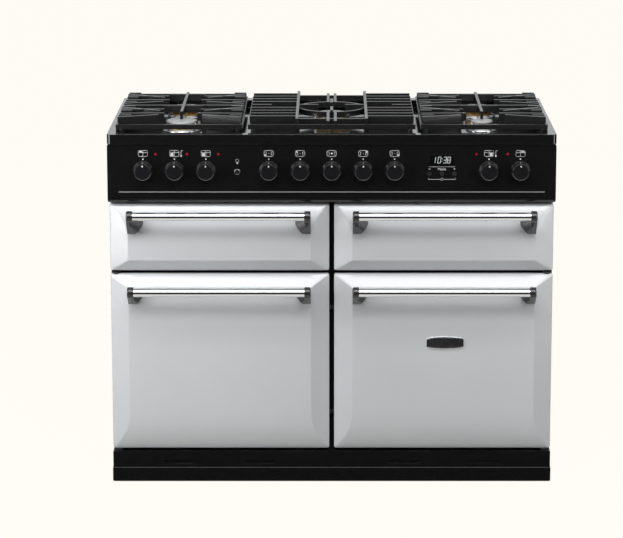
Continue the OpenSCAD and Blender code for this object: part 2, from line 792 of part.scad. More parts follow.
// The grill's heating rod, bent to and fro under the roof of its compartment
module grill_element() {
  $fn = 20;
  r = 3.5;
  turns = 3;
  pitch = 44;
  y0 = cavity_y + 45;
  run = 250;
  color([0.25, 0.24, 0.23]) translate([-door_x, y0, upper_cavity_z + upper_cavity_h - 12]) union() {
    for (i = [-turns:turns])
      wire([i * pitch, 0, 0], "y", abs(i) == turns ? cavity_end_y - cavity_t - y0 : run, r);
    for (i = [-turns:turns - 1]) {
      bend = i % 2 == 0 ? run : 0;
      wire([i * pitch - r - 1, bend, 0], "x", pitch + 2 * r + 2, r + 0.4);
    }
  }
}

// A perforated plate that boxes in the fan at the back of an oven
module fan_covers() {
  size = 240;
  y1 = cavity_end_y - cavity_t;
  y0 = y1 - fan_gap - 6;
  color([0.12, 0.12, 0.14]) for (side = [-1, 1]) difference() {
    front_plate(side * door_x - size / 2, fan_z - size / 2, size, size, 20, y0, y1);
    front_plate(side * door_x - size / 2 + 2, fan_z - size / 2 + 2, size - 4, size - 4, 18,
                y0 + 2, y1 + cut);
    for (turn = [0:30:330]) translate([side * door_x, y0 - cut, fan_z]) rotate([0, turn, 0])
      block([22, 0, -4], [54, 4, 4]);
    for (hand = [-1, 1], z = [-70:28:70])
      front_plate(side * door_x + hand * 92 - 12, fan_z + z - 4, 24, 8, 3.9, y0 - cut, y0 + 2 + cut);
  }
}

module fan_motors() {
  y1 = cavity_end_y;
  color("dimgray") for (side = [-1, 1]) translate([side * door_x, y1, fan_z]) rotate([-90, 0, 0]) union() {
    cylinder(h = 6, r = 45);
    cylinder(h = 46, r = 36);
    translate([0, 0, -fan_gap - cavity_t + 2]) cylinder(h = fan_gap + cavity_t, r = spindle_r);
  }
}

// A radial wheel: a disc with bent-up blades and a hub that runs on the motor's shaft
module fan(side) {
  blades = 12;
  color(steel) translate([side * door_x, fan_y, fan_z]) rotate([90, 0, 0]) difference() {
    union() {
      cylinder(h = 1.2, r = fan_r);
      cylinder(h = 10, r = 9);
      for (i = [0:blades - 1]) rotate(i * 360 / blades) block([fan_r * 0.45, 0, 0], [fan_r - 1, 1.2, 12]);
    }
    translate([0, 0, -cut]) cylinder(h = 12, r = spindle_r + run_fit);
  }
}
module fan_left() { fan(-1); }
module fan_right() { fan(1); }

// Grill: a carriage on rails behind its front, with a pan and trivet in it

module grill_carriage() {
  half = cavity_w / 2 - 6;
  w = door_w - 2 * skin_side;
  end = cavity_end_y - 60;
  color(steel) union() {
    for (hand = [-1, 1]) {
      x = -door_x + hand * half;
      web = x - hand * 3;
      foot = x - hand * 14;
      block([min(x, web), door_back_y, carriage_z], [max(x, web), end, carriage_z + rail_h]);
      block([min(x, foot), door_back_y, carriage_z], [max(x, foot), end, carriage_z + 2]);
    }
    front_plate(-door_x - w / 2, upper_door_z + skin_t, w, upper_door_h - 2 * skin_t, door_corner,
                door_back_y - liner_t, door_back_y);
    block([-door_x - half, end - 2, carriage_z], [-door_x + half, end, carriage_z + rail_h]);
  }
}

module grill_pan() {
  half = cavity_w / 2 - 22;
  rim = 15;
  wall = 1.5;
  y0 = door_back_y + 14;
  y1 = cavity_end_y - 66;
  z = carriage_z + 2;
  well_half = half - rim;
  color([0.1, 0.1, 0.12]) translate([-door_x, 0, 0]) difference() {
    union() {
      block([-well_half, y0 + rim, z - 14], [well_half, y1 - rim, z]);
      block([-half - 8, y0, z], [half + 8, y1, z + 2]);
    }
    block([-well_half + wall, y0 + rim + wall, z - 14 + wall],
          [well_half - wall, y1 - rim - wall, z + 2 + cut]);
  }
  color(steel) translate([-door_x, 0, 0]) union() {
    for (i = [-6:6])
      wire([i * (well_half - 10) / 6, y0 + rim + 6, z + 4], "y", y1 - y0 - 2 * rim - 12, 1.8);
    for (y = [y0 + rim + 8, y1 - rim - 8]) wire([-well_half - 6, y, z + 4], "x", 2 * well_half + 12, 2);
  }
}

// Hob

module hob_top() {
  half = cooker_w / 2;
  depth = back_y - hob_y;
  well_d = depth - rim_w - rear_rim_w;
  color(black) difference() {
    translate([-half, hob_y, hob_lip_z]) linear_extrude(hob_lip_h) rounded_rect(cooker_w, depth, 10);
    // The well, pressed down inside the rim
    translate([-half + rim_w, hob_y + rim_w, well_z]) linear_extrude(well_depth + cut)
      rounded_rect(cooker_w - 2 * rim_w, well_d, 24);
    // The hollow under the rim
    difference() {
      translate([-half + hob_t, hob_y + hob_t, hob_lip_z - cut]) linear_extrude(hob_lip_h + cut - hob_t)
        rounded_rect(cooker_w - 2 * hob_t, depth - 2 * hob_t, 8);
      translate([-half + rim_w - hob_t, hob_y + rim_w - hob_t, hob_lip_z - 2 * cut]) linear_extrude(hob_lip_h)
        rounded_rect(cooker_w - 2 * (rim_w - hob_t), well_d + 2 * hob_t, 26);
    }
    block([-half + rim_w, hob_y + rim_w, hob_lip_z - cut],
          [half - rim_w, back_y - rear_rim_w, well_z - hob_t]);
  }
}

// Polished rings that stand on the well
module burner_bases() {
  color(steel) for (b = burners) translate([b[0], b[1], well_z]) rotate_extrude()
    polygon([[0, 0], [b[3], 0], [b[3], 2], [b[3] - 4, 7], [0, 7]]);
}

// Brass heads with a ring of flame ports
module burner_heads() {
  color(brass) for (b = burners) translate([b[0], b[1], well_z + 7]) difference() {
    cylinder(h = 13, r = b[2] - 2.5);
    for (turn = [0:22.5:157.5]) rotate(turn) block([-b[2], -1.2, 8.5], [b[2], 1.2, 13 + cut]);
  }
}

// Loose enamelled caps that lie on the heads
module burner_caps() {
  color(steel) for (b = burners) translate([b[0], b[1], base_cap_z]) rotate_extrude()
    polygon([[0, 0], [b[2] - 1, 0], [b[2], 1.5], [b[2] - 1.5, 4.5], [b[2] - 8, 7], [0, 8]]);
}

// A white ceramic electrode beside each head
module ignition_electrodes() {
  color("white") for (b = burners) {
    turn = b[0] < 0 ? -35 : 215;
    translate([b[0], b[1], well_z + 7]) rotate(turn) translate([b[2] + 3.6, 0, 0]) {
      cylinder(h = 12, r = 2.6);
      cylinder(h = 15, r = 1);
    }
  }
}

// A straight cast rib from one point to another
module rib(from, to, z0, z1, w = cast_w) {
  run = to - from;
  translate([from[0], from[1], z0]) rotate(atan2(run[1], run[0])) translate([0, -w / 2, 0])
    cube([norm(run), w, z1 - z0]);
}

// The outer frame of a pan support on its four short legs
module support_frame(w) {
  half = w / 2;
  deep = support_d / 2;
  difference() {
    block([-half, -deep, cast_base_z], [half, deep, cast_frame_z]);
    block([-half + cast_w, -deep + cast_w, cast_base_z - cut],
          [half - cast_w, deep - cast_w, cast_frame_z + cut]);
  }
  for (x = [-1, 1], y = [-1, 1]) translate([x * (half - 13), y * (deep - cast_w / 2), well_z + seat_gap])
    cylinder(h = cast_base_z - well_z, r = 5);
}

// Fingers of one outer burner, on one hand: each a root and a tip, as a part of the half width and a depth
side_fingers = [
  [[1, 66], [0.36, 10]], [[1, 34], [0.3, 34]], [[1, -34], [0.27, -30]], [[1, -92], [0.36, -56]],
  [[1, 88], [0.8, 88]], [[1, 16], [0.82, 16]], [[1, -62], [0.8, -62]]
];

module side_support() {
  half = side_support_w / 2 - cast_w / 2;
  deep = support_d / 2 - cast_w / 2;
  low = cast_frame_z - 5;
  union() {
    support_frame(side_support_w);
    for (row = [-1, 1]) translate([0, row * burner_pitch / 2, 0])
      for (hand = [-1, 1], f = side_fingers)
        rib([hand * f[0][0] * half, f[0][1]], [hand * f[1][0] * half, f[1][1]], low, support_z);
    // Cross bars between and behind the burners carry a blade that runs over both
    for (y = [0, deep - 36]) {
      rib([-half, y], [half, y], low, support_z - 2);
      rib([-48, y], [48, y], low, support_z - 3, 2 * cast_w + 2);
    }
    rib([0, -burner_pitch / 2 - 6], [0, deep - 18], low, support_z);
  }
}

module pan_support_left() { color(iron) translate([-side_support_x, support_y, 0]) side_support(); }
module pan_support_right() { color(iron) translate([side_support_x, support_y, 0]) side_support(); }

// The middle support: long ribs, straight bars and a ring round the wok burner
module pan_support_centre() {
  half = middle_support_w / 2 - cast_w / 2;
  deep = support_d / 2 - cast_w / 2;
  long_x = 86;
  low = cast_frame_z - 5;
  color(iron) translate([0, support_y, 0]) union() {
    support_frame(middle_support_w);
    for (hand = [-1, 1]) {
      rib([hand * long_x, -deep], [hand * long_x, deep], low, support_z);
      for (end = [-1, 1], bar = [1:4])
        rib([hand * long_x, end * (bar * 45 + 4)], [hand * half, end * (bar * 45 + 4)], low, support_z);
      rib([hand * half, 0], [hand * (half - 50), 0], low, support_z);
      rib([hand * long_x, 0], [hand * 34, 0], low, support_z);
    }
    for (end = [-1, 1]) {
      for (x = [-9, 9]) rib([x, end * deep], [x, end * 80], low, support_z - 6);
      rib([0, end * 96], [0, end * 34], low, support_z);
      rib([-long_x, end * 190], [long_x, end * 190], low, support_z - 6);
    }
    translate([0, 0, low]) difference() {
      cylinder(h = support_z - 6 - low, r = long_x);
      translate([0, 0, -cut]) cylinder(h = support_z, r = long_x - cast_w);
    }
  }
}

// Plinth and feet

// The upper plinth: a folded channel with four cooling slots
module vent_plinth() {
  half = cooker_w / 2 - 3;
  fold = 12;
  color(black) difference() {
    block([-half, vent_y, plinth_joint], [half, frame_y, vent_top]);
    block([-half + 2, vent_y + 2, plinth_joint + 2], [half - 2, frame_y + cut, vent_top - 2]);
    block([-half + 2, vent_y + fold, plinth_joint - cut], [half - 2, frame_y + cut, plinth_joint + 2 + cut]);
    for (x = vent_slot_xs)
      front_plate(x - vent_slot[0] / 2, plinth_joint + 9, vent_slot[0], vent_slot[1],
                  vent_slot[1] / 2 - 0.1, vent_y - cut, vent_y + 2 + cut);
  }
}

module kick_plinth() {
  half = cooker_w / 2 - 2;
  top = plinth_joint - seat_gap;
  back = frame_y - seat_gap;
  color(black) difference() {
    block([-half, kick_y, plinth_gap], [half, back, top]);
    block([-half + 2, kick_y + 2, plinth_gap - cut], [half - 2, back + cut, top - 2]);
    block([-half + 2, kick_y + 20, plinth_gap - cut], [half - 2, back + cut, top + cut]);
  }
}

// Screw feet: a disc, a stud through the base tray and the nut under it
module levelling_feet() {
  color("dimgray") for (p = foot_places) translate([p[0], p[1], 0]) union() {
    cylinder(h = 6, r = foot_r);
    translate([0, 0, 6]) cylinder(h = 8, r1 = foot_r - 4, r2 = foot_stud_r + 2);
    cylinder(h = base_h + 14, r = foot_stud_r);
    translate([0, 0, base_h - 8]) cylinder(h = 8, r = 9, $fn = 6);
  }
}

base_tray();
side_panels();
back_panel();
front_frame();
grill_cavity();
slow_oven_cavity();
left_oven_cavity();
right_oven_cavity();
control_panel();
fascia_trim();
timer_display();
hob_top();
burner_bases();
burner_heads();
burner_caps();
ignition_electrodes();
pan_support_left();
pan_support_centre();
pan_support_right();
vent_plinth();
kick_plinth();
levelling_feet();
door_hinges();
oven_racks();
fan_covers();
fan_motors();
grill_element();
gas_rail();
oven_controls();
door_seals();
indicator_lamps();
left_door_skin();
left_door_liner();
left_door_handle();
right_door_skin();
right_door_liner();
right_door_handle();
slow_door_skin();
slow_door_liner();
slow_door_handle();
grill_front_skin();
grill_carriage();
grill_pan();
grill_handle();
knob_1();
knob_2();
knob_3();
knob_4();
knob_5();
knob_6();
knob_7();
knob_8();
knob_9();
knob_10();
light_button();
timer_minus_button();
timer_mode_button();
timer_plus_button();
fan_left();
fan_right();
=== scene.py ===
import bmesh
import bpy
import math
from mathutils import Matrix, Vector


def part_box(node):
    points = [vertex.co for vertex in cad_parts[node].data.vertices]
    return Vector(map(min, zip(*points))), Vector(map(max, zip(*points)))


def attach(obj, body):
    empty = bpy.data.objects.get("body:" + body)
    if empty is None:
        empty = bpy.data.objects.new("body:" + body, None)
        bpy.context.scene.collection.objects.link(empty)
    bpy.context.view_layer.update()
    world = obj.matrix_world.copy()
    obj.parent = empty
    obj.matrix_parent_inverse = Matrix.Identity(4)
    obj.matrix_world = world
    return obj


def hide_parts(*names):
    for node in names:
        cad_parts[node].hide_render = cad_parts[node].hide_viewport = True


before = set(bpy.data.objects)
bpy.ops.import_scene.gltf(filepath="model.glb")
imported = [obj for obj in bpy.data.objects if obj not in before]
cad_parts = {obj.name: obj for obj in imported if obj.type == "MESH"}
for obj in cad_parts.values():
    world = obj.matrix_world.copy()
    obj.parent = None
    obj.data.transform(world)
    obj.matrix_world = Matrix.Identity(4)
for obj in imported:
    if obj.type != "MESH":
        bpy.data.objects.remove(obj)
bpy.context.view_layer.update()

# Casing: side panels, back panel and base tray of folded sheet steel, painted satin black and
# screwed together. Every folded sheet has softened edges that catch the light.


def painted(name, colour, roughness, metallic=0.0, coat=0.0, mottle=0.04, mottle_scale=35.0,
            bump=0.0, bump_scale=300.0, specular=0.5):
    """A node-based finish: cloudy colour, uneven gloss and a fine surface texture."""
    mat = bpy.data.materials.new(name)
    mat.use_nodes = True
    nodes, links = mat.node_tree.nodes, mat.node_tree.links
    shader = nodes["Principled BSDF"]
    shader.inputs["Metallic"].default_value = metallic
    shader.inputs["Coat Weight"].default_value = coat
    shader.inputs["Coat Roughness"].default_value = 0.04
    shader.inputs["Specular IOR Level"].default_value = specular
    place = nodes.new("ShaderNodeTexCoord")
    cloud = nodes.new("ShaderNodeTexNoise")
    cloud.inputs["Scale"].default_value = mottle_scale
    cloud.inputs["Detail"].default_value = 5.0
    links.new(place.outputs["Object"], cloud.inputs["Vector"])
    tint = nodes.new("ShaderNodeValToRGB")
    low, high = tint.color_ramp.elements
    low.position, high.position = 0.3, 0.7
    low.color = [c * (1 - mottle) for c in colour] + [1]
    high.color = [min(1, c * (1 + mottle)) for c in colour] + [1]
    links.new(cloud.outputs["Fac"], tint.inputs["Fac"])
    links.new(tint.outputs["Color"], shader.inputs["Base Color"])
    gloss = nodes.new("ShaderNodeMapRange")
    gloss.inputs["To Min"].default_value = roughness * 0.8
    gloss.inputs["To Max"].default_value = roughness * 1.2
    links.new(cloud.outputs["Fac"], gloss.inputs["Value"])
    links.new(gloss.outputs["Result"], shader.inputs["Roughness"])
    if bump:
        grain = nodes.new("ShaderNodeTexNoise")
        grain.inputs["Scale"].default_value = bump_scale
        grain.inputs["Detail"].default_value = 3.0
        links.new(place.outputs["Object"], grain.inputs["Vector"])
        relief = nodes.new("ShaderNodeBump")
        relief.inputs["Strength"].default_value = bump
        relief.inputs["Distance"].default_value = 0.001
        links.new(grain.outputs["Fac"], relief.inputs["Height"])
        links.new(relief.outputs["Normal"], shader.inputs["Normal"])
    return mat


def dress(node, mat):
    """Gives a CAD node its finish."""
    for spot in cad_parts[node].material_slots:
        spot.material = mat


def bake(obj):
    """Applies an object's modifiers and leaves a plain mesh."""
    mesh = bpy.data.meshes.new_from_object(obj.evaluated_get(bpy.context.evaluated_depsgraph_get()))
    obj.modifiers.clear()
    obj.data = mesh
    return obj


def smooth(mesh, angle=32):
    """Smooth shading, kept sharp where faces meet at more than the angle."""
    mesh.shade_smooth()
    mesh.set_sharp_from_angle(angle=math.radians(angle))


def piece(name, mesh, mats):
    """A new object at the origin with its own materials."""
    obj = bpy.data.objects.new(name, mesh)
    bpy.context.scene.collection.objects.link(obj)
    if mesh.materials:
        mesh.materials.clear()
    for mat in mats:
        mesh.materials.append(mat)
    return obj


def softened(node, mats, width, body="cooker", angle=25, chooser=None):
    """Stands a copy of a CAD node in for it, with merged faces and small rounded edges."""
    shape = bmesh.new()
    shape.from_mesh(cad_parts[node].data)
    bmesh.ops.remove_doubles(shape, verts=shape.verts, dist=0.00002)
    bmesh.ops.dissolve_limit(shape, angle_limit=math.radians(0.4), verts=shape.verts, edges=shape.edges)
    for face in shape.faces:
        face.material_index = chooser(face.calc_center_median()) if chooser else 0
    mesh = bpy.data.meshes.new(node + "_dressed")
    shape.to_mesh(mesh)
    shape.free()
    obj = piece(node + "_dressed", mesh, mats)
    edge = obj.modifiers.new("edges", "BEVEL")
    edge.width = width
    edge.segments = 2
    edge.limit_method = "ANGLE"
    edge.angle_limit = math.radians(angle)
    mesh.shade_smooth()
    flat = obj.modifiers.new("flat", "WEIGHTED_NORMAL")
    flat.weight = 100
    bake(obj)
    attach(obj, body)
    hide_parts(node)


satin_black = painted("satin_black_paint", (0.022, 0.022, 0.024), 0.38, bump=0.12, bump_scale=900)
softened("side_panels", [satin_black], 0.0008)
softened("back_panel", [satin_black], 0.0004)
softened("base_tray", [satin_black], 0.0004)

# Screws that hold the back panel, one row along each of its edges. They are zinc-plated pan
# heads with a pointed recess for the driver.

zinc = painted("zinc_plate", (0.56, 0.56, 0.54), 0.32, metallic=1.0, mottle=0.1, mottle_scale=400)
head_sides = 12
head_profile = ((0.0042, 0.0), (0.0042, 0.0008), (0.0034, 0.0018), (0.0014, 0.0021))
recess_floor = 0.0009


def screw_head():
    """One pan-head screw with its recess, facing +Y."""
    shape = bmesh.new()
    rings = []
    turns = [t * math.tau / head_sides for t in range(head_sides)]
    for radius, lift in head_profile:
        rings.append([shape.verts.new((radius * math.cos(a), lift, radius * math.sin(a))) for a in turns])
    for inner, outer in zip(rings[1:], rings):
        for t in range(head_sides):
            after = t - head_sides + 1
            shape.faces.new((outer[t], inner[t], inner[after], outer[after]))
    hub = shape.verts.new((0, recess_floor, 0))
    for t in range(head_sides):
        shape.faces.new((rings[-1][t], hub, rings[-1][t - head_sides + 1]))
    bmesh.ops.recalc_face_normals(shape, faces=shape.faces)
    mesh = bpy.data.meshes.new("screw_head")
    shape.to_mesh(mesh)
    shape.free()
    smooth(mesh, 50)
    return mesh


def row_of_screws(name, start, step, count):
    """A Geometry Nodes row of screws from start, one step apart."""
    tree = bpy.data.node_groups.new(name, "GeometryNodeTree")
    tree.interface.new_socket("Geometry", in_out="INPUT", socket_type="NodeSocketGeometry")
    tree.interface.new_socket("Count", in_out="INPUT", socket_type="NodeSocketInt")
    tree.interface.new_socket("Start", in_out="INPUT", socket_type="NodeSocketVector")
    tree.interface.new_socket("Step", in_out="INPUT", socket_type="NodeSocketVector")
    tree.interface.new_socket("Geometry", in_out="OUTPUT", socket_type="NodeSocketGeometry")
    source = tree.nodes.new("NodeGroupInput")
    line = tree.nodes.new("GeometryNodeMeshLine")
    line.mode = "OFFSET"
    spread = tree.nodes.new("GeometryNodeInstanceOnPoints")
    real = tree.nodes.new("GeometryNodeRealizeInstances")
    skin = tree.nodes.new("GeometryNodeSetMaterial")
    skin.inputs["Material"].default_value = zinc
    end = tree.nodes.new("NodeGroupOutput")
    tree.links.new(source.outputs["Count"], line.inputs["Count"])
    tree.links.new(source.outputs["Start"], line.inputs["Start Location"])
    tree.links.new(source.outputs["Step"], line.inputs["Offset"])
    tree.links.new(line.outputs["Mesh"], spread.inputs["Points"])
    tree.links.new(source.outputs["Geometry"], spread.inputs["Instance"])
    tree.links.new(spread.outputs["Instances"], real.inputs["Geometry"])
    tree.links.new(real.outputs["Geometry"], skin.inputs["Geometry"])
    tree.links.new(skin.outputs["Geometry"], end.inputs["Geometry"])
    row = piece(name, screw_head(), [zinc])
    maker = row.modifiers.new("row", "NODES")
    maker.node_group = tree
    inputs = [item for item in tree.interface.items_tree if item.in_out == "INPUT"]
    by_name = {item.name: item.identifier for item in inputs}
    maker[by_name["Count"]] = count
    maker[by_name["Start"]] = start
    maker[by_name["Step"]] = step
    bake(row)
    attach(row, "cooker")


back_low, back_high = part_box("back_panel")
screw_y = back_high[1]
left_row_x, right_row_x = back_low[0] + 0.0075, back_high[0] - 0.0075
foot_row_z, top_row_z = back_low[2] + 0.012, back_high[2] - 0.012
first_x, first_z = back_low[0] + 0.1, back_low[2] + 0.03
step_across, step_up = (0.149, 0, 0), (0, 0, 0.146)
count_across, count_up = 7, 6
row_of_screws("back_screws_left", (left_row_x, screw_y, first_z), step_up, count_up)
row_of_screws("back_screws_right", (right_row_x, screw_y, first_z), step_up, count_up)
row_of_screws("back_screws_top", (first_x, screw_y, top_row_z), step_across, count_across)
row_of_screws("back_screws_foot", (first_x, screw_y, foot_row_z), step_across, count_across)

# Screw feet under the base tray, which level the cooker. Each is a moulded black disc on a
# threaded stud.

foot_black = painted("foot_plastic", (0.03, 0.03, 0.03), 0.5, bump=0.2, bump_scale=700)
softened("levelling_feet", [foot_black], 0.0008)

# Front frame and the four enamelled compartments behind it. The frame is gloss black and shows
# as the dark cross between the doors. Soft rubber rings on it seal the ovens.

black_enamel = painted("black_enamel", (0.006, 0.006, 0.0066), 0.12, coat=0.7, mottle=0.1,
                       bump=0.01, bump_scale=120, specular=0.4)
softened("front_frame", [black_enamel], 0.0008)
fleck_scale = 420.0


def speckled(name, base, fleck, amount):
    """Vitreous enamel of an oven's inside: dark and glossy with fine pale flecks."""
    mat = painted(name, base, 0.22, coat=0.3, mottle=0.12, mottle_scale=60)
    nodes, links = mat.node_tree.nodes, mat.node_tree.links
    shader = nodes["Principled BSDF"]
    place = nodes["Texture Coordinate"]
    cells = nodes.new("ShaderNodeTexVoronoi")
    cells.inputs["Scale"].default_value = fleck_scale
    links.new(place.outputs["Object"], cells.inputs["Vector"])
    mask = nodes.new("ShaderNodeMath")
    mask.operation = "LESS_THAN"
    mask.inputs[1].default_value = amount
    links.new(cells.outputs["Distance"], mask.inputs[0])
    mix = nodes.new("ShaderNodeMix")
    mix.data_type = "RGBA"
    mix.inputs["B"].default_value = (*fleck, 1)
    tint = shader.inputs["Base Color"].links[0].from_socket
    links.new(mask.outputs["Value"], mix.inputs["Factor"])
    links.new(tint, mix.inputs["A"])
    links.new(mix.outputs["Result"], shader.inputs["Base Color"])
    return mat


oven_enamel = speckled("oven_enamel", (0.03, 0.031, 0.036), (0.25, 0.26, 0.3), 0.13)
for node in ("grill_cavity", "slow_oven_cavity", "left_oven_cavity", "right_oven_cavity", "fan_covers"):
    dress(node, oven_enamel)
rubber = painted("seal_rubber", (0.018, 0.018, 0.018), 0.7, bump=0.2, bump_scale=500)
softened("door_seals", [rubber], 0.0018)

# Door fronts: pressed steel with flat bevels and one long curve, in light pearl-grey gloss
# enamel. Each is a closed shell over its black liner. The drop-down one has slots for its two
# hinge arms.

pearl_grey = (0.56, 0.575, 0.59)
pearl = painted("pearl_enamel", pearl_grey, 0.24, coat=0.5, mottle=0.012, mottle_scale=6,
                bump=0.015, bump_scale=45)
door_x = 0.2765
door_half = 0.2705
face_y = -0.266
rim_y = -0.242
back_y = -0.222
bevel_depth = rim_y - face_y
side_bevel = 0.045
row_bevel = 0.030
foot_curve = 0.100
head_curve = 0.083
door_corner = 0.005
tightest_corner = 0.0006
corner_points = 7
side_parts = 96
crease = 0.0007
mitre_power = 14
edge_r = 0.0022
edge_steps = 5
hem = 0.012
hem_chamfer = 0.006
hem_depth = 0.003
face_insets = [0.0035, 0.006, 0.009, 0.012, 0.016, 0.020, 0.024, 0.027, 0.0290, 0.0300, 0.0310,
               0.033, 0.036, 0.039, 0.042, 0.0436, 0.0448, 0.0460, 0.0475, 0.050, 0.055, 0.061,
               0.068, 0.075, 0.080]
long_curve_insets = [0.086, 0.092, 0.097, 0.100, 0.104]


def eased(t, w):
    """A ramp that starts at zero with a rounded bend of half-width w."""
    if t <= -w:
        return 0.0
    if t >= w:
        return t
    return (t + w) ** 2 / (4 * w)


def outline(x0, x1, z0, z1, inset, r):
    """Points round a rounded rectangle, inset from its edge, denser than the curves need."""
    points = []
    rr = max(r - inset, tightest_corner)
    spans = ((x1, z0, 0), (x1, z1, 90), (x0, z1, 180), (x0, z0, 270))
    for x, z, turn in spans:
        cx = x - inset - rr if x == x1 else x + inset + rr
        cz = z - inset - rr if z == z1 else z + inset + rr
        for i in range(corner_points):
            a = math.radians(turn - 90 + i * 90 / (corner_points - 1))
            points.append((cx + rr * math.cos(a), cz + rr * math.sin(a)))
    full = []
    for i, p in enumerate(points):
        q = points[(i + 1) % len(points)]
        full.append(p)
        if i % corner_points == corner_points - 1:
            for k in range(1, side_parts):
                t = (1 - math.cos(math.pi * k / side_parts)) / 2
                full.append((p[0] + (q[0] - p[0]) * t, p[1] + (q[1] - p[1]) * t))
    return full


def lofted(loops, name):
    """A closed shell through loops of equal length, capped at both ends."""
    shape = bmesh.new()
    rings = [[shape.verts.new(p) for p in loop] for loop in loops]
    count = len(rings[0])
    for a, b in zip(rings, rings[1:]):
        for i in range(count):
            j = (i + 1) % count
            shape.faces.new((a[i], a[j], b[j], b[i]))
    shape.faces.new(rings[0])
    shape.faces.new(list(reversed(rings[-1])))
    bmesh.ops.recalc_face_normals(shape, faces=shape.faces)
    mesh = bpy.data.meshes.new(name)
    shape.to_mesh(mesh)
    shape.free()
    return mesh


def door_front(name, side, z0, z1, curve_at_foot):
    """One door's front: flat bevels at its sides and at the gap between the rows, and a long curve."""
    x0, x1 = side * door_x - door_half, side * door_x + door_half
    curve = foot_curve if curve_at_foot else head_curve
    radius = (curve * curve + bevel_depth * bevel_depth) / (2 * bevel_depth)

    def depth(x, z):
        from_side = min(x - x0, x1 - x)
        from_row = z1 - z if curve_at_foot else z - z0
        from_end = z - z0 if curve_at_foot else z1 - z
        at_side = eased(bevel_depth * (1 - from_side / side_bevel), crease)
        at_row = eased(bevel_depth * (1 - from_row / row_bevel), crease)
        run = max(0.0, curve - from_end)
        at_end = radius - math.sqrt(radius * radius - run * run)
        deepest = max(at_side, at_row, at_end)
        p = mitre_power
        return (at_side ** p + at_row ** p + at_end ** p) ** (1 / p) if deepest > 0 else 0.0

    loops = []
    for inset, y in ((hem, back_y - hem_depth), (hem, back_y), (hem_chamfer, back_y),
                     (0.0, back_y - hem_chamfer)):
        loops.append([(x, y, z) for x, z in outline(x0, x1, z0, z1, inset, door_corner)])
    for step in range(edge_steps):
        a = math.radians(90 / (edge_steps - 1) * step)
        inset, lift = edge_r * (1 - math.cos(a)), edge_r * (1 - math.sin(a))
        ring = outline(x0, x1, z0, z1, inset, door_corner)
        loops.append([(x, face_y + depth(x, z) + lift, z) for x, z in ring])
    for inset in face_insets + (long_curve_insets if curve_at_foot else []):
        ring = outline(x0, x1, z0, z1, inset, door_corner)
        loops.append([(x, face_y + depth(x, z), z) for x, z in ring])
    return piece(name, lofted(loops, name), [pearl])


def finish_front(obj, node, body):
    """Shades a front and lets it stand for its node."""
    smooth(obj.data, 40)
    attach(obj, body)
    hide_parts(node)


lower_z, lower_top = 0.084, 0.5315
upper_z, upper_top = 0.540, 0.708
finish_front(door_front("left_oven_front", -1, lower_z, lower_top, True), "left_door_skin", "left_door")
finish_front(door_front("right_oven_front", 1, lower_z, lower_top, True), "right_door_skin", "right_door")
finish_front(door_front("grill_front", -1, upper_z, upper_top, False), "grill_front_skin", "grill_drawer")

slow_front = door_front("slow_oven_front", 1, upper_z, upper_top, False)
arm_shift = 0.2
arm_slot_y, arm_slot_z = -0.224, 0.5495
arm_slot_size = (0.006, 0.036, 0.023, 1)
slots = bmesh.new()
for shift in (-arm_shift, arm_shift):
    made = bmesh.ops.create_cube(slots, size=1.0)
    spot = Matrix.Translation((door_x + shift, arm_slot_y, arm_slot_z)) @ Matrix.Diagonal(arm_slot_size)
    bmesh.ops.transform(slots, matrix=spot, verts=made["verts"])
slot_mesh = bpy.data.meshes.new("arm_slots")
slots.to_mesh(slot_mesh)
slots.free()
slot_cutter = piece("arm_slots", slot_mesh, [pearl])
cut = slow_front.modifiers.new("slots", "BOOLEAN")
cut.object = slot_cutter
cut.solver = "EXACT"
bake(slow_front)
bpy.data.objects.remove(slot_cutter)
finish_front(slow_front, "slow_door_skin", "slow_oven_door")

# Liners close the backs of the doors. They are folded sheet in the same dark enamel as the
# ovens, set into the hem of the front.

for node, body in (("left_door_liner", "left_door"), ("right_door_liner", "right_door"),
                   ("slow_door_liner", "slow_oven_door")):
    softened(node, [oven_enamel], 0.0006, body=body)

# A plain plaque on the right lower door: a blank black plate in a bright rim with bowed long
# sides, stuck to the enamel.

chrome = painted("polished_chrome", (0.78, 0.79, 0.81), 0.07, metallic=1.0, mottle=0.01,
                 bump=0.01, bump_scale=60)
plaque_black = painted("plaque_black", (0.02, 0.02, 0.022), 0.28, coat=0.3)
plaque_x, plaque_z = 0.281, 0.3615
bow_start = 0.62
bow_steps = 16


def plaque_shell(name, half_w, half_h, y0, y1, lip, mat):
    """A bulged plate: straight ends, bowed long sides and a rounded lip."""
    def ring(shrink, y):
        w, h = half_w - shrink, half_h - shrink
        side = [(w, bow_start * h * (k / 3)) for k in range(-3, 4)]
        bend = [math.pi * k / bow_steps for k in range(1, bow_steps)]
        bow = [(w * math.cos(a), h * (bow_start + (1 - bow_start) * math.sin(a))) for a in bend]
        loop = side + bow + [(-x, -z) for x, z in side] + [(-x, -z) for x, z in bow]
        return [(plaque_x + x, y, plaque_z + z) for x, z in loop]
    loops = [ring(0, y0), ring(0, y1 + lip)]
    for a in (0.4, 0.8, 1.2, math.pi / 2):
        loops.append(ring(lip * (1 - math.cos(a)), y1 + lip * (1 - math.sin(a))))
    obj = piece(name, lofted(loops, name), [mat])
    smooth(obj.data, 40)
    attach(obj, "right_door")
    return obj


rim = plaque_shell("plaque_rim", 0.046, 0.0165, face_y + 0.0003, face_y - 0.0030, 0.0016, chrome)
plate = plaque_shell("plaque_face", 0.0425, 0.0132, face_y - 0.0025, face_y - 0.0038, 0.0010, plaque_black)

# Handles: a polished steel bar between two cast brackets in black enamel. Each bracket is a
# round cap and an arm that widens inwards to a foot, which is screwed on from behind the door.

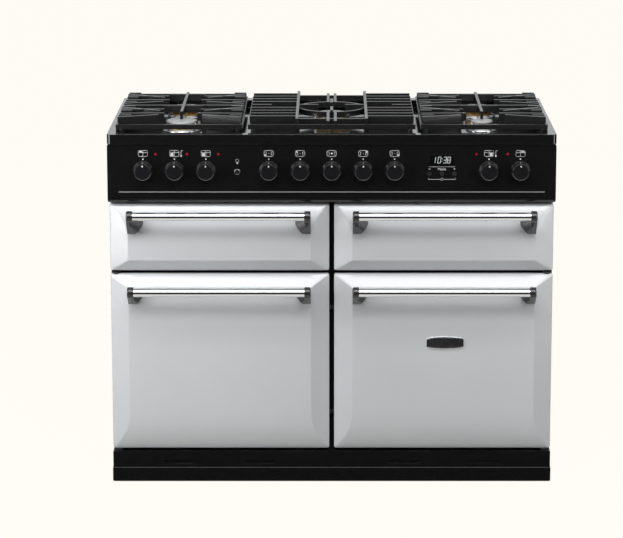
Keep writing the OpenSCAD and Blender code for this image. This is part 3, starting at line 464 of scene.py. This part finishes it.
graphite = painted("bracket_graphite", (0.016, 0.016, 0.017), 0.25, coat=0.4, bump=0.03, bump_scale=500)
bar_y = -0.313
bar_r = 0.0105
handle_half = 0.225
cap_w = 0.0155
cap_r = 0.014
foot_w = 0.038
foot_h = 0.034
foot_tip = 0.020
foot_y = face_y + bevel_depth / 2
upper_bar_z, lower_bar_z = 0.689, 0.499
upper_drop, lower_drop = 0.050, 0.036
cast_edge = 0.0014


def prism(name, points, place):
    """A closed prism: place turns each outline point and a side, 0 or 1, into a corner."""
    shape = bmesh.new()
    ends = [[shape.verts.new(place(p, side)) for p in points] for side in (0, 1)]
    shape.faces.new(ends[0])
    shape.faces.new(list(reversed(ends[1])))
    for i in range(len(points)):
        j = (i + 1) % len(points)
        shape.faces.new((ends[0][j], ends[0][i], ends[1][i], ends[1][j]))
    bmesh.ops.recalc_face_normals(shape, faces=shape.faces)
    mesh = bpy.data.meshes.new(name)
    shape.to_mesh(mesh)
    shape.free()
    return piece(name, mesh, [graphite])


def arm(drop):
    """The arm of a bracket, with its cap's axis at the origin and the middle of the handle towards +X."""
    low, high = -drop, -drop + foot_h
    y_foot, y_end = face_y - bar_y, foot_y - bar_y
    y_neck = y_foot - 0.014
    from_front = [(0, low), (foot_tip, low), (foot_w - 0.004, low + 0.015), (foot_w, low + 0.022),
                  (foot_w, cap_r), (0, cap_r)]
    from_side = [(-cap_r + 0.001, -0.005), (y_neck, low), (y_end, low), (y_end, high),
                 (y_neck, high), (0.0, cap_r - 0.001)]
    from_above = [(0, -0.04), (cap_w, -0.04), (cap_w, bar_r + 0.001), (foot_w, y_foot),
                  (foot_w, y_end + 0.002), (0, y_end + 0.002)]
    seen = prism("arm", from_front, lambda p, side: (p[0], -0.05 if side else 0.07, p[1]))
    profile = prism("arm_profile", from_side, lambda p, side: (0.06 if side else -0.01, p[0], p[1]))
    plan = prism("arm_plan", from_above, lambda p, side: (p[0], p[1], 0.08 if side else -0.08))
    for tool in (profile, plan):
        cut = seen.modifiers.new("cut", "BOOLEAN")
        cut.operation = "INTERSECT"
        cut.solver = "EXACT"
        cut.object = tool
    edge = seen.modifiers.new("edges", "BEVEL")
    edge.width, edge.segments, edge.angle_limit = cast_edge, 3, math.radians(25)
    bake(seen)
    for tool in (profile, plan):
        bpy.data.objects.remove(tool)
    mesh = seen.data
    bpy.data.objects.remove(seen)
    return mesh


def turned_on_x(shape, section, steps, mat):
    """Adds a solid turned about the bar's axis, from a section whose two ends lie on the axis."""
    turns = [t * math.tau / steps for t in range(steps)]
    rings = []
    for x, r in section:
        if r == 0:
            rings.append([shape.verts.new((x, 0, 0))])
        else:
            rings.append([shape.verts.new((x, r * math.cos(a), r * math.sin(a))) for a in turns])
    for a, b in zip(rings, rings[1:]):
        for t in range(steps):
            corners = [a[t % len(a)], a[(t + 1) % len(a)], b[(t + 1) % len(b)], b[t % len(b)]]
            face = shape.faces.new(list(dict.fromkeys(corners)))
            face.material_index = mat


arms = {upper_drop: arm(upper_drop), lower_drop: arm(lower_drop)}
cap_section = [(0, 0), (0, cap_r - 0.003), (0.0006, cap_r - 0.0015), (0.002, cap_r - 0.0003),
               (0.0035, cap_r), (cap_w - 0.0012, cap_r), (cap_w - 0.0003, cap_r - 0.0004),
               (cap_w, cap_r - 0.0012), (cap_w, bar_r + 0.0006), (cap_w - 0.002, bar_r + 0.0002),
               (cap_w - 0.002, 0)]
bar_end = handle_half - cap_w + 0.0015
bar_section = [(-bar_end, 0), (-bar_end, bar_r), (bar_end, bar_r), (bar_end, 0)]
bar_steps, cap_steps = 64, 48
for node, body, side, bar_z, drop in (
        ("left_door_handle", "left_door", -1, lower_bar_z, lower_drop),
        ("right_door_handle", "right_door", 1, lower_bar_z, lower_drop),
        ("grill_handle", "grill_drawer", -1, upper_bar_z, upper_drop),
        ("slow_door_handle", "slow_oven_door", 1, upper_bar_z, upper_drop)):
    whole = bmesh.new()
    turned_on_x(whole, bar_section, bar_steps, 1)
    for end in (-1, 1):
        half = bmesh.new()
        turned_on_x(half, cap_section, cap_steps, 0)
        half.from_mesh(arms[drop])
        for v in half.verts:
            v.co.x = end * (handle_half - v.co.x)
        half_mesh = bpy.data.meshes.new("bracket")
        half.to_mesh(half_mesh)
        half.free()
        whole.from_mesh(half_mesh)
    bmesh.ops.recalc_face_normals(whole, faces=whole.faces)
    mesh = bpy.data.meshes.new(node + "_dressed")
    whole.to_mesh(mesh)
    whole.free()
    mesh.transform(Matrix.Translation((side * door_x, bar_y, bar_z)))
    smooth(mesh, 30)
    handle = piece(node + "_dressed", mesh, [graphite, chrome])
    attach(handle, body)
    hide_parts(node)

# Hinges and catches, screwed to the front frame: steel plates with pins at the doors' outer
# edges, two flat arms, and strikes between the lower doors. All are drawn in the casing's satin black in
# place of plated steel, so they stay as dark as the shaded gaps round them.

softened("door_hinges", [satin_black], 0.0005)

# Control panel: one pressed steel fascia in gloss black, hung below the hob's lip, with a thin
# silver line along its foot.

panel_black = painted("panel_black", (0.006, 0.006, 0.0064), 0.15, coat=0.6, mottle=0.1,
                      bump=0.01, bump_scale=150, specular=0.4)
softened("control_panel", [panel_black], 0.0012, angle=35)
silver_line = painted("silver_line", (0.26, 0.26, 0.265), 0.42, metallic=0.2, mottle=0.02)
softened("fascia_trim", [silver_line], 0.0003)

# Marks printed on the panel in white: over each knob a plan of the compartments or of the
# burners with the one that it works filled in, and lines and signs round the timer's buttons.

panel_y = -0.260
print_white = painted("print_white", (0.62, 0.62, 0.61), 0.5, mottle=0.02)
knob_pitch = 0.077
knob_z = 0.7947
oven_knobs = (-6, -5, -4, 5, 6)
hob_knobs = (-2, -1, 0, 1, 2)
knob_steps = sorted(oven_knobs + hob_knobs)
symbol_z = 0.8365
dot_z = 0.8225
dot_r = 0.0017
print_lift = 0.00005


class Print:
    """Flat shapes gathered into one thin mesh on a plane that faces the front."""

    def __init__(self, y, thick=0.0002):
        self.shape = bmesh.new()
        self.y, self.thick = y, thick

    def flat(self, points):
        """A flat shape with the outline of the points."""
        front = [self.shape.verts.new((x, self.y - self.thick, z)) for x, z in points]
        back = [self.shape.verts.new((x, self.y, z)) for x, z in points]
        self.shape.faces.new(front)
        self.shape.faces.new(list(reversed(back)))
        for i in range(len(points)):
            j = (i + 1) % len(points)
            self.shape.faces.new((front[j], front[i], back[i], back[j]))

    def bar(self, x0, z0, x1, z1):
        """A rectangle between two corners."""
        self.flat([(x0, z0), (x1, z0), (x1, z1), (x0, z1)])

    def disc(self, x, z, r, sides=16):
        """A round dot."""
        turns = [k * math.tau / sides for k in range(sides)]
        self.flat([(x + r * math.cos(a), z + r * math.sin(a)) for a in turns])

    def line(self, path, width, closed=False):
        """A line of even width through the points."""
        count = len(path)
        for i in range(count if closed else count - 1):
            (ax, az), (bx, bz) = path[i], path[(i + 1) % count]
            run = math.hypot(bx - ax, bz - az) or 1
            ux, uz = (bx - ax) / run * width / 2, (bz - az) / run * width / 2
            self.flat([(ax - ux + uz, az - uz - ux), (bx + ux + uz, bz + uz - ux),
                       (bx + ux - uz, bz + uz + ux), (ax - ux - uz, az - uz + ux)])

    def frame(self, x, z, w, h, r, width):
        """A rounded rectangle drawn as a line."""
        across, up = w / 2 - r, h / 2 - r
        path = []
        for cx, cz, turn in ((across, -up, -90), (across, up, 0), (-across, up, 90), (-across, -up, 180)):
            bend = [math.radians(turn + k * 30) for k in range(4)]
            path += [(x + cx + r * math.cos(a), z + cz + r * math.sin(a)) for a in bend]
        self.line(path, width, closed=True)

    def done(self, name, mat, body):
        """Turns the shapes into a piece that rides on a body."""
        bmesh.ops.recalc_face_normals(self.shape, faces=self.shape.faces)
        mesh = bpy.data.meshes.new(name)
        self.shape.to_mesh(mesh)
        self.shape.free()
        obj = piece(name, mesh, [mat])
        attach(obj, body)


marks = Print(panel_y - print_lift)
symbol_w, symbol_h, symbol_r, stroke = 0.0225, 0.0148, 0.003, 0.0008
symbol_foot, symbol_head = symbol_z - symbol_h / 2, symbol_z + symbol_h / 2
floor_line = symbol_z + 0.0022
fill_gap = 0.0022
heat_gap, heat_hook, heat_bulb = 0.0052, 0.004, 0.002
for step, column, row, hot in zip(oven_knobs, (-1, -1, -1, 1, 1), (1, -1, -1, -1, 1), (0, 1, 0, 1, 0)):
    x = step * knob_pitch
    marks.frame(x, symbol_z, symbol_w, symbol_h, symbol_r, stroke)
    marks.bar(x - stroke / 2, symbol_foot, x + stroke / 2, symbol_head)
    marks.bar(x - symbol_w / 2, floor_line - stroke / 2, x + symbol_w / 2, floor_line + stroke / 2)
    x_in, x_out = sorted((x + column * fill_gap, x + column * (symbol_w / 2 - fill_gap)))
    if row > 0:
        marks.bar(x_in, floor_line + 0.0009, x_out, symbol_head - 0.0014)
    else:
        marks.bar(x_in, symbol_foot + 0.0014, x_out, floor_line - 0.0012)
    if hot:
        stem = x + symbol_w / 2 + heat_gap
        top = symbol_z + 0.007
        marks.line([(stem, symbol_z - 0.005), (stem, top), (stem + heat_hook, top)], 0.0009)
        marks.disc(stem, symbol_z - 0.006, heat_bulb)
corners = ((-1, -1), (-1, 1), (0, 0), (1, 1), (1, -1))
divider_shift, divider_half_w, divider_half_h = 0.0062, 0.0004, 0.0045
for step, chosen in zip(hob_knobs, corners):
    x = step * knob_pitch
    marks.frame(x, symbol_z, symbol_w, symbol_h, symbol_r, stroke)
    for side in (-1, 1):
        divider = x + side * divider_shift
        marks.bar(divider - divider_half_w, symbol_z - divider_half_h,
                  divider + divider_half_w, symbol_z + divider_half_h)
    for across, up in corners:
        lit = (across, up) == chosen
        marks.disc(x + across * 0.0088, symbol_z + up * 0.0042, 0.0023 if lit else 0.0008)
for step in knob_steps:
    marks.disc(step * knob_pitch, dot_z, dot_r)
bulb_x, bulb_z, bulb_w = -0.231, 0.8165, 0.0078
marks.frame(bulb_x, bulb_z + 0.002, bulb_w, bulb_w, 0.0037, stroke)
marks.bar(bulb_x - 0.0016, bulb_z - 0.006, bulb_x + 0.0016, bulb_z - 0.0025)
timer_x = 0.270
timer_button_z = 0.7857
timer_line_z, timer_sign_z = timer_button_z + 0.0178, timer_button_z + 0.0122
sign_x, sign_half = 0.0305, 0.0025
marks.bar(timer_x - 0.032, timer_line_z - 0.0003, timer_x + 0.032, timer_line_z + 0.0003)
for side in (-1, 1):
    middle = timer_x + side * sign_x
    marks.bar(middle - sign_half, timer_sign_z - 0.0004, middle + sign_half, timer_sign_z + 0.0004)
plus_x = timer_x + sign_x
marks.bar(plus_x - 0.0004, timer_sign_z - sign_half, plus_x + 0.0004, timer_sign_z + sign_half)
hook_z = timer_button_z - 0.0135
hook_out, hook_in, hook_rise = 0.033, 0.004, 0.003
for side in (-1, 1):
    outer = timer_x + side * hook_out
    marks.line([(outer, hook_z + hook_rise), (outer, hook_z), (timer_x + side * hook_in, hook_z)], 0.0007)
marks.frame(timer_x, hook_z, 0.006, 0.006, 0.0029, stroke)
marks.done("panel_marks", print_white, "cooker")

word = bpy.data.curves.new("mode_word", "FONT")
word.body = "Mode"
word.size = 0.0088
word.align_x = "CENTER"
word.extrude = 0.0001
word_obj = bpy.data.objects.new("mode_word", word)
bpy.context.scene.collection.objects.link(word_obj)
word_mesh = bpy.data.meshes.new_from_object(word_obj.evaluated_get(bpy.context.evaluated_depsgraph_get()))
bpy.data.objects.remove(word_obj)
word_place = Matrix.Translation((timer_x, panel_y - 0.00015, timer_button_z + 0.0092))
word_mesh.transform(word_place @ Matrix.Rotation(math.pi / 2, 4, "X"))
mode_word = piece("mode_word", word_mesh, [print_white])
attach(mode_word, "cooker")

# Red pilot lamps beside the oven knobs: small clear red domes pushed into the panel, which
# glow faintly.

lamp_red = painted("lamp_red", (0.24, 0.004, 0.005), 0.25, coat=0.2)
lamp_shader = lamp_red.node_tree.nodes["Principled BSDF"]
lamp_shader.inputs["Emission Color"].default_value = (0.6, 0.01, 0.01, 1)
lamp_shader.inputs["Emission Strength"].default_value = 0.05
softened("indicator_lamps", [lamp_red], 0.0006)

# Timer: a dark glass window set flush in the panel, with slanted pale figures of seven
# segments in it.

window_black = painted("window_black", (0.003, 0.003, 0.0035), 0.12, coat=0.4, specular=0.3)
softened("timer_display", [window_black], 0.0003)
digit_light = painted("digit_light", (0.62, 0.66, 0.66), 0.5)
digit_shader = digit_light.node_tree.nodes["Principled BSDF"]
digit_shader.inputs["Emission Color"].default_value = (0.8, 0.88, 0.86, 1)
digit_shader.inputs["Emission Strength"].default_value = 0.35
segments = {"0": "abcdef", "1": "bc", "3": "abgcd", "8": "abcdefg"}
digit_h, digit_w, slant = 0.0150, 0.0066, 0.16
digit_mid = 0.8202
digit_stroke = 0.0009
segment_gap = 0.09
colon_x, colon_rise, colon_r = 0.0003, 0.0032, 0.0008
digits = Print(panel_y - 0.00045, 0.00015)


def digit_point(x, z):
    """A point of a figure, leaned to the right by its height."""
    return (x + slant * z, digit_mid + z)


def draw_digit(figure, x):
    """One slanted seven-segment figure centred on x."""
    w, h = digit_w / 2, digit_h / 2
    ends = {"a": ((-w, h), (w, h)), "b": ((w, h), (w, 0)), "c": ((w, 0), (w, -h)), "d": ((-w, -h), (w, -h)),
            "e": ((-w, 0), (-w, -h)), "f": ((-w, h), (-w, 0)), "g": ((-w, 0), (w, 0))}
    for key in segments[figure]:
        (ax, az), (bx, bz) = ends[key]
        a = digit_point(x + ax + (bx - ax) * segment_gap, az + (bz - az) * segment_gap)
        b = digit_point(x + bx - (bx - ax) * segment_gap, bz - (bz - az) * segment_gap)
        digits.line([a, b], digit_stroke)


for figure, shift in zip("1038", (-0.0195, -0.0065, 0.0070, 0.0168)):
    draw_digit(figure, timer_x + shift)
for z in (-colon_rise, colon_rise):
    digits.disc(*digit_point(timer_x + colon_x, z), colon_r)
digits.done("timer_digits", digit_light, "cooker")

# Knobs: moulded gloss black, each pushed onto a steel spindle, with a white dot that points up
# when off.

knob_black = painted("knob_black", (0.009, 0.009, 0.010), 0.17, coat=0.7, bump=0.01, bump_scale=400)
spindle_steel = painted("spindle_steel", (0.55, 0.55, 0.56), 0.3, metallic=1.0)
knob_face_y = -0.288
skirt_back_y = -0.2605
knob_dot_r, knob_dot_rise = 0.0019, 0.0142
for number, step in enumerate(knob_steps, 1):
    node = "knob_%d" % number
    softened(node, [knob_black, spindle_steel], 0.0009, body=node, angle=30,
             chooser=lambda c: 1 if c.y > skirt_back_y else 0)
    dot = Print(knob_face_y + 0.0004, 0.0008)
    dot.disc(step * knob_pitch, knob_z + knob_dot_rise, knob_dot_r, 20)
    dot.done("knob_dot_%d" % number, print_white, node)

# Push buttons on springs behind the panel: a domed chrome one for the oven lights, and three flat
# black plastic ones under the timer.

softened("light_button", [chrome], 0.0016, body="light_button", angle=60)
button_black = painted("button_black", (0.013, 0.013, 0.014), 0.35)
for node in ("timer_minus_button", "timer_mode_button", "timer_plus_button"):
    softened(node, [button_black], 0.0006, body=node)

# Hob: one pressed steel tray in gloss black enamel that lies on the casing, with a rounded rim
# and a well under the burners.

softened("hob_top", [black_enamel], 0.0030, angle=40)

# Burners: polished rings on the well, machined brass heads with flame ports, pale grey caps
# whose colour is a painted sheen for the room reflected at a grazing angle in their black enamel, and white
# ceramic electrodes.

polished_ring = painted("polished_ring", (0.72, 0.72, 0.72), 0.14, metallic=1.0, mottle=0.03)
softened("burner_bases", [polished_ring], 0.0006)
brass = painted("burner_brass", (0.62, 0.40, 0.13), 0.3, metallic=1.0, mottle=0.12, mottle_scale=220)
softened("burner_heads", [brass], 0.0004)
# Painted sheen: the caps' pale grey stands for a grazing reflection on black enamel
cap_painted_sheen = painted("burner_cap_grey", (0.42, 0.43, 0.43), 0.38, mottle=0.04, mottle_scale=300,
                   bump=0.06, bump_scale=800)
softened("burner_caps", [cap_painted_sheen], 0.0006)
ceramic = painted("ceramic_white", (0.8, 0.79, 0.75), 0.25, coat=0.3)
softened("ignition_electrodes", [ceramic], 0.0003)

# Pan supports: loose iron castings in black enamel with rounded ribs, three side by side on the
# hob's rim.

iron = painted("cast_iron_enamel", (0.012, 0.012, 0.0125), 0.3, coat=0.35, mottle=0.15, mottle_scale=90,
               bump=0.12, bump_scale=450)
for node in ("pan_support_left", "pan_support_centre", "pan_support_right"):
    softened(node, [iron], 0.0014)

# Plinth: a folded channel with four cooling slots over a plain kick strip, both in gloss black
# enamel and screwed to the base tray.

softened("vent_plinth", [black_enamel], 0.0010)
softened("kick_plinth", [black_enamel], 0.0012)

# Inside: plated wire racks, fans and the grill's carriage, its enamelled pan and heating rod,
# and the brass gas taps, plastic controls and steel motors that no open door shows.

plated = painted("plated_steel", (0.6, 0.61, 0.62), 0.26, metallic=1.0, mottle=0.06, mottle_scale=120)
for node in ("oven_racks", "fan_left", "fan_right", "grill_carriage"):
    dress(node, plated)
dress("grill_pan", oven_enamel)
sheath = painted("oxidised_sheath", (0.10, 0.09, 0.085), 0.5, metallic=0.6, mottle=0.3, mottle_scale=90)
dress("grill_element", sheath)
dress("gas_rail", brass)
control_plastic = painted("control_plastic", (0.06, 0.06, 0.065), 0.5, bump=0.1)
dress("oven_controls", control_plastic)
motor_steel = painted("motor_steel", (0.4, 0.4, 0.4), 0.4, metallic=1.0, mottle=0.1)
dress("fan_motors", motor_steel)

# Studio: a pale floor that runs out of view under an even room, soft rectangular lamps above,
# in front, at both sides and behind, and a camera that looks slightly down on the hob. The
# camera sees floor and room in one cream white, apart from a painted shade on the ground under the cooker,
# while polished metal sees bright and dark bands.

cream = (1.0, 0.970, 0.913)
floor_half = 40
shade_half_x, shade_half_y, shade_y = 0.545, 0.29, 0.04
camera_share, camera_glow = 0.96, 1.035
floor_mat = bpy.data.materials.new("pale_floor")
floor_mat.use_nodes = True
floor_nodes, floor_links = floor_mat.node_tree.nodes, floor_mat.node_tree.links
floor_shader = floor_nodes["Principled BSDF"]
floor_shader.inputs["Roughness"].default_value = 0.8
glow = floor_nodes.new("ShaderNodeEmission")
glow.inputs["Color"].default_value = (*cream, 1)
sight = floor_nodes.new("ShaderNodeLightPath")


def floor_math(operation, a, b):
    """A Math node on the floor, whose inputs are sockets or numbers."""
    node = floor_nodes.new("ShaderNodeMath")
    node.operation = operation
    for socket, value in zip(node.inputs, (a, b)):
        if isinstance(value, (int, float)):
            socket.default_value = value
        else:
            floor_links.new(value, socket)
    return node.outputs["Value"]


# The ground under the cooker is painted dark as shade, so nothing glows through the slots of the plinth
ground_point = floor_nodes.new("ShaderNodeTexCoord")
split = floor_nodes.new("ShaderNodeSeparateXYZ")
floor_links.new(ground_point.outputs["Object"], split.inputs["Vector"])
beside = floor_math("GREATER_THAN", floor_math("ABSOLUTE", split.outputs["X"], 0), shade_half_x)
off_y = floor_math("ABSOLUTE", floor_math("SUBTRACT", split.outputs["Y"], shade_y), 0)
clear_of_painted_shade = floor_math("MAXIMUM", beside, floor_math("GREATER_THAN", off_y, shade_half_y))
# Painted shade: a near-black ground colour under the cooker, the floor's own pale colour elsewhere
ground = floor_nodes.new("ShaderNodeMix")
ground.data_type = "RGBA"
ground.inputs["A"].default_value = (0.01, 0.01, 0.01, 1)
ground.inputs["B"].default_value = (0.36, 0.355, 0.34, 1)
floor_links.new(clear_of_painted_shade, ground.inputs["Factor"])
floor_links.new(ground.outputs["Result"], floor_shader.inputs["Base Color"])
# The camera sees the cream glow only clear of the painted shade under the cooker
seen_directly = floor_math("MULTIPLY", sight.outputs["Is Camera Ray"], camera_share)
to_eye = floor_math("MULTIPLY", seen_directly, clear_of_painted_shade)
# Polished metal sees a bright floor where it looks down steeply, and dark ground towards the horizon
slope = floor_nodes.new("ShaderNodeLayerWeight")
slope.inputs["Blend"].default_value = 0.5
steep = floor_nodes.new("ShaderNodeMapRange")
steep.inputs["From Min"].default_value = 0.66
steep.inputs["From Max"].default_value = 0.42
steep.inputs["To Min"].default_value = 0.02
steep.inputs["To Max"].default_value = 0.8
floor_links.new(slope.outputs["Facing"], steep.inputs["Value"])
for_metal = floor_math("MULTIPLY", steep.outputs["Result"], sight.outputs["Is Glossy Ray"])
for_eye = floor_math("MULTIPLY", sight.outputs["Is Camera Ray"], camera_glow)
strength = floor_math("ADD", for_metal, for_eye)
floor_links.new(strength, glow.inputs["Strength"])
blend = floor_nodes.new("ShaderNodeMixShader")
floor_links.new(floor_math("ADD", to_eye, sight.outputs["Is Glossy Ray"]), blend.inputs["Fac"])
floor_links.new(floor_shader.outputs["BSDF"], blend.inputs[1])
floor_links.new(glow.outputs["Emission"], blend.inputs[2])
floor_links.new(blend.outputs["Shader"], floor_nodes["Material Output"].inputs["Surface"])
floor_mesh = bpy.data.meshes.new("floor")
floor_corners = [(x * floor_half, y * floor_half, 0) for x, y in ((-1, -1), (1, -1), (1, 1), (-1, 1))]
floor_mesh.from_pydata(floor_corners, [], [(0, 1, 2, 3)])
floor = piece("floor", floor_mesh, [floor_mat])

# The air gives a low even fill. Metal sees a room that is dark at the horizon in front, bright
# halfway up, dimmer overhead and half bright behind.
world = bpy.data.worlds.new("studio")
bpy.context.scene.world = world
world.use_nodes = True
air, air_links = world.node_tree.nodes, world.node_tree.links
fill = air["Background"]
fill.inputs["Color"].default_value = (0.95, 0.97, 1.0, 1)
fill.inputs["Strength"].default_value = 0.05
room = air.new("ShaderNodeBackground")
room.inputs["Color"].default_value = (0.96, 0.98, 1.0, 1)
heading = air.new("ShaderNodeTexCoord")
toward = air.new("ShaderNodeSeparateXYZ")
air_links.new(heading.outputs["Generated"], toward.inputs["Vector"])
# The arc runs from the horizon in front, 0, over the top, 0.5, to the horizon behind, 1
backwards = air.new("ShaderNodeMath")
backwards.operation = "MULTIPLY"
backwards.inputs[1].default_value = -1.0
air_links.new(toward.outputs["Y"], backwards.inputs[0])
swing = air.new("ShaderNodeMath")
swing.operation = "ARCTAN2"
air_links.new(toward.outputs["Z"], swing.inputs[0])
air_links.new(backwards.outputs["Value"], swing.inputs[1])
arc = air.new("ShaderNodeMath")
arc.operation = "DIVIDE"
arc.inputs[1].default_value = math.pi
air_links.new(swing.outputs["Value"], arc.inputs[0])
levels = air.new("ShaderNodeValToRGB")
stops = ((0.0, 0.02), (0.07, 0.05), (0.15, 0.55), (0.24, 0.75), (0.36, 0.68),
         (0.46, 0.42), (0.56, 0.25), (0.82, 0.3), (0.92, 0.5), (1.0, 0.5))
for number, (height, level) in enumerate(stops):
    stop = levels.color_ramp.elements[0] if number == 0 else levels.color_ramp.elements.new(height)
    stop.position, stop.color = height, (level, level, level, 1)
levels.color_ramp.elements.remove(levels.color_ramp.elements[-1])
air_links.new(arc.outputs["Value"], levels.inputs["Fac"])
air_links.new(levels.outputs["Color"], room.inputs["Strength"])
seen = air.new("ShaderNodeBackground")
seen.inputs["Color"].default_value = (*cream, 1)
path = air.new("ShaderNodeLightPath")
for_gloss = air.new("ShaderNodeMixShader")
air_links.new(path.outputs["Is Glossy Ray"], for_gloss.inputs["Fac"])
air_links.new(fill.outputs["Background"], for_gloss.inputs[1])
air_links.new(room.outputs["Background"], for_gloss.inputs[2])
either = air.new("ShaderNodeMixShader")
air_links.new(path.outputs["Is Camera Ray"], either.inputs["Fac"])
air_links.new(for_gloss.outputs["Shader"], either.inputs[1])
air_links.new(seen.outputs["Background"], either.inputs[2])
air_links.new(either.outputs["Shader"], air["World Output"].inputs["Surface"])


def soft_lamp(name, place, target, size, size_y, power):
    """A rectangular soft lamp aimed at a point."""
    data = bpy.data.lights.new(name, "AREA")
    data.shape = "RECTANGLE"
    data.size, data.size_y, data.energy = size, size_y, power
    lamp = bpy.data.objects.new(name, data)
    bpy.context.scene.collection.objects.link(lamp)
    lamp.visible_camera = False
    lamp.location = place
    lamp.rotation_euler = (Vector(target) - Vector(place)).to_track_quat("-Z", "Y").to_euler()


soft_lamp("roof", (0, -1.5, 3.3), (0, -0.25, 0.45), 3.2, 0.35, 25)
soft_lamp("high_front", (0, -2.2, 2.8), (0, -0.25, 0.45), 2.8, 0.6, 42)
soft_lamp("front", (-0.3, -3.1, 2.8), (0, -0.27, 0.45), 2.4, 1.0, 7)
soft_lamp("left_far", (-2.1, -1.35, 0.95), (-0.4, -0.27, 0.45), 0.8, 1.7, 14)
soft_lamp("left_near", (-1.35, -0.95, 1.0), (-0.5, -0.27, 0.5), 0.5, 1.4, 11)
soft_lamp("right_near", (1.35, -0.95, 1.0), (0.5, -0.27, 0.5), 0.5, 1.4, 9)
soft_lamp("behind", (0.0, 2.6, 2.6), (0, 0, 0.6), 2.6, 1.2, 12)

photo_w = 623
focal_pixels = 2696.8
look_down = 11.321
camera_data = bpy.data.cameras.new("camera")
camera_data.sensor_width = 36.0
camera_data.lens = focal_pixels / photo_w * camera_data.sensor_width
camera_data.shift_x = -0.0324
camera_data.shift_y = -0.08
camera_data.clip_end = 200
camera = bpy.data.objects.new("camera", camera_data)
bpy.context.scene.collection.objects.link(camera)
camera.location = (0.0, -6.76, 1.974)
camera.rotation_euler = (math.radians(90 - look_down), 0, 0)
bpy.context.scene.camera = camera
bpy.context.scene.view_settings.view_transform = "Standard"
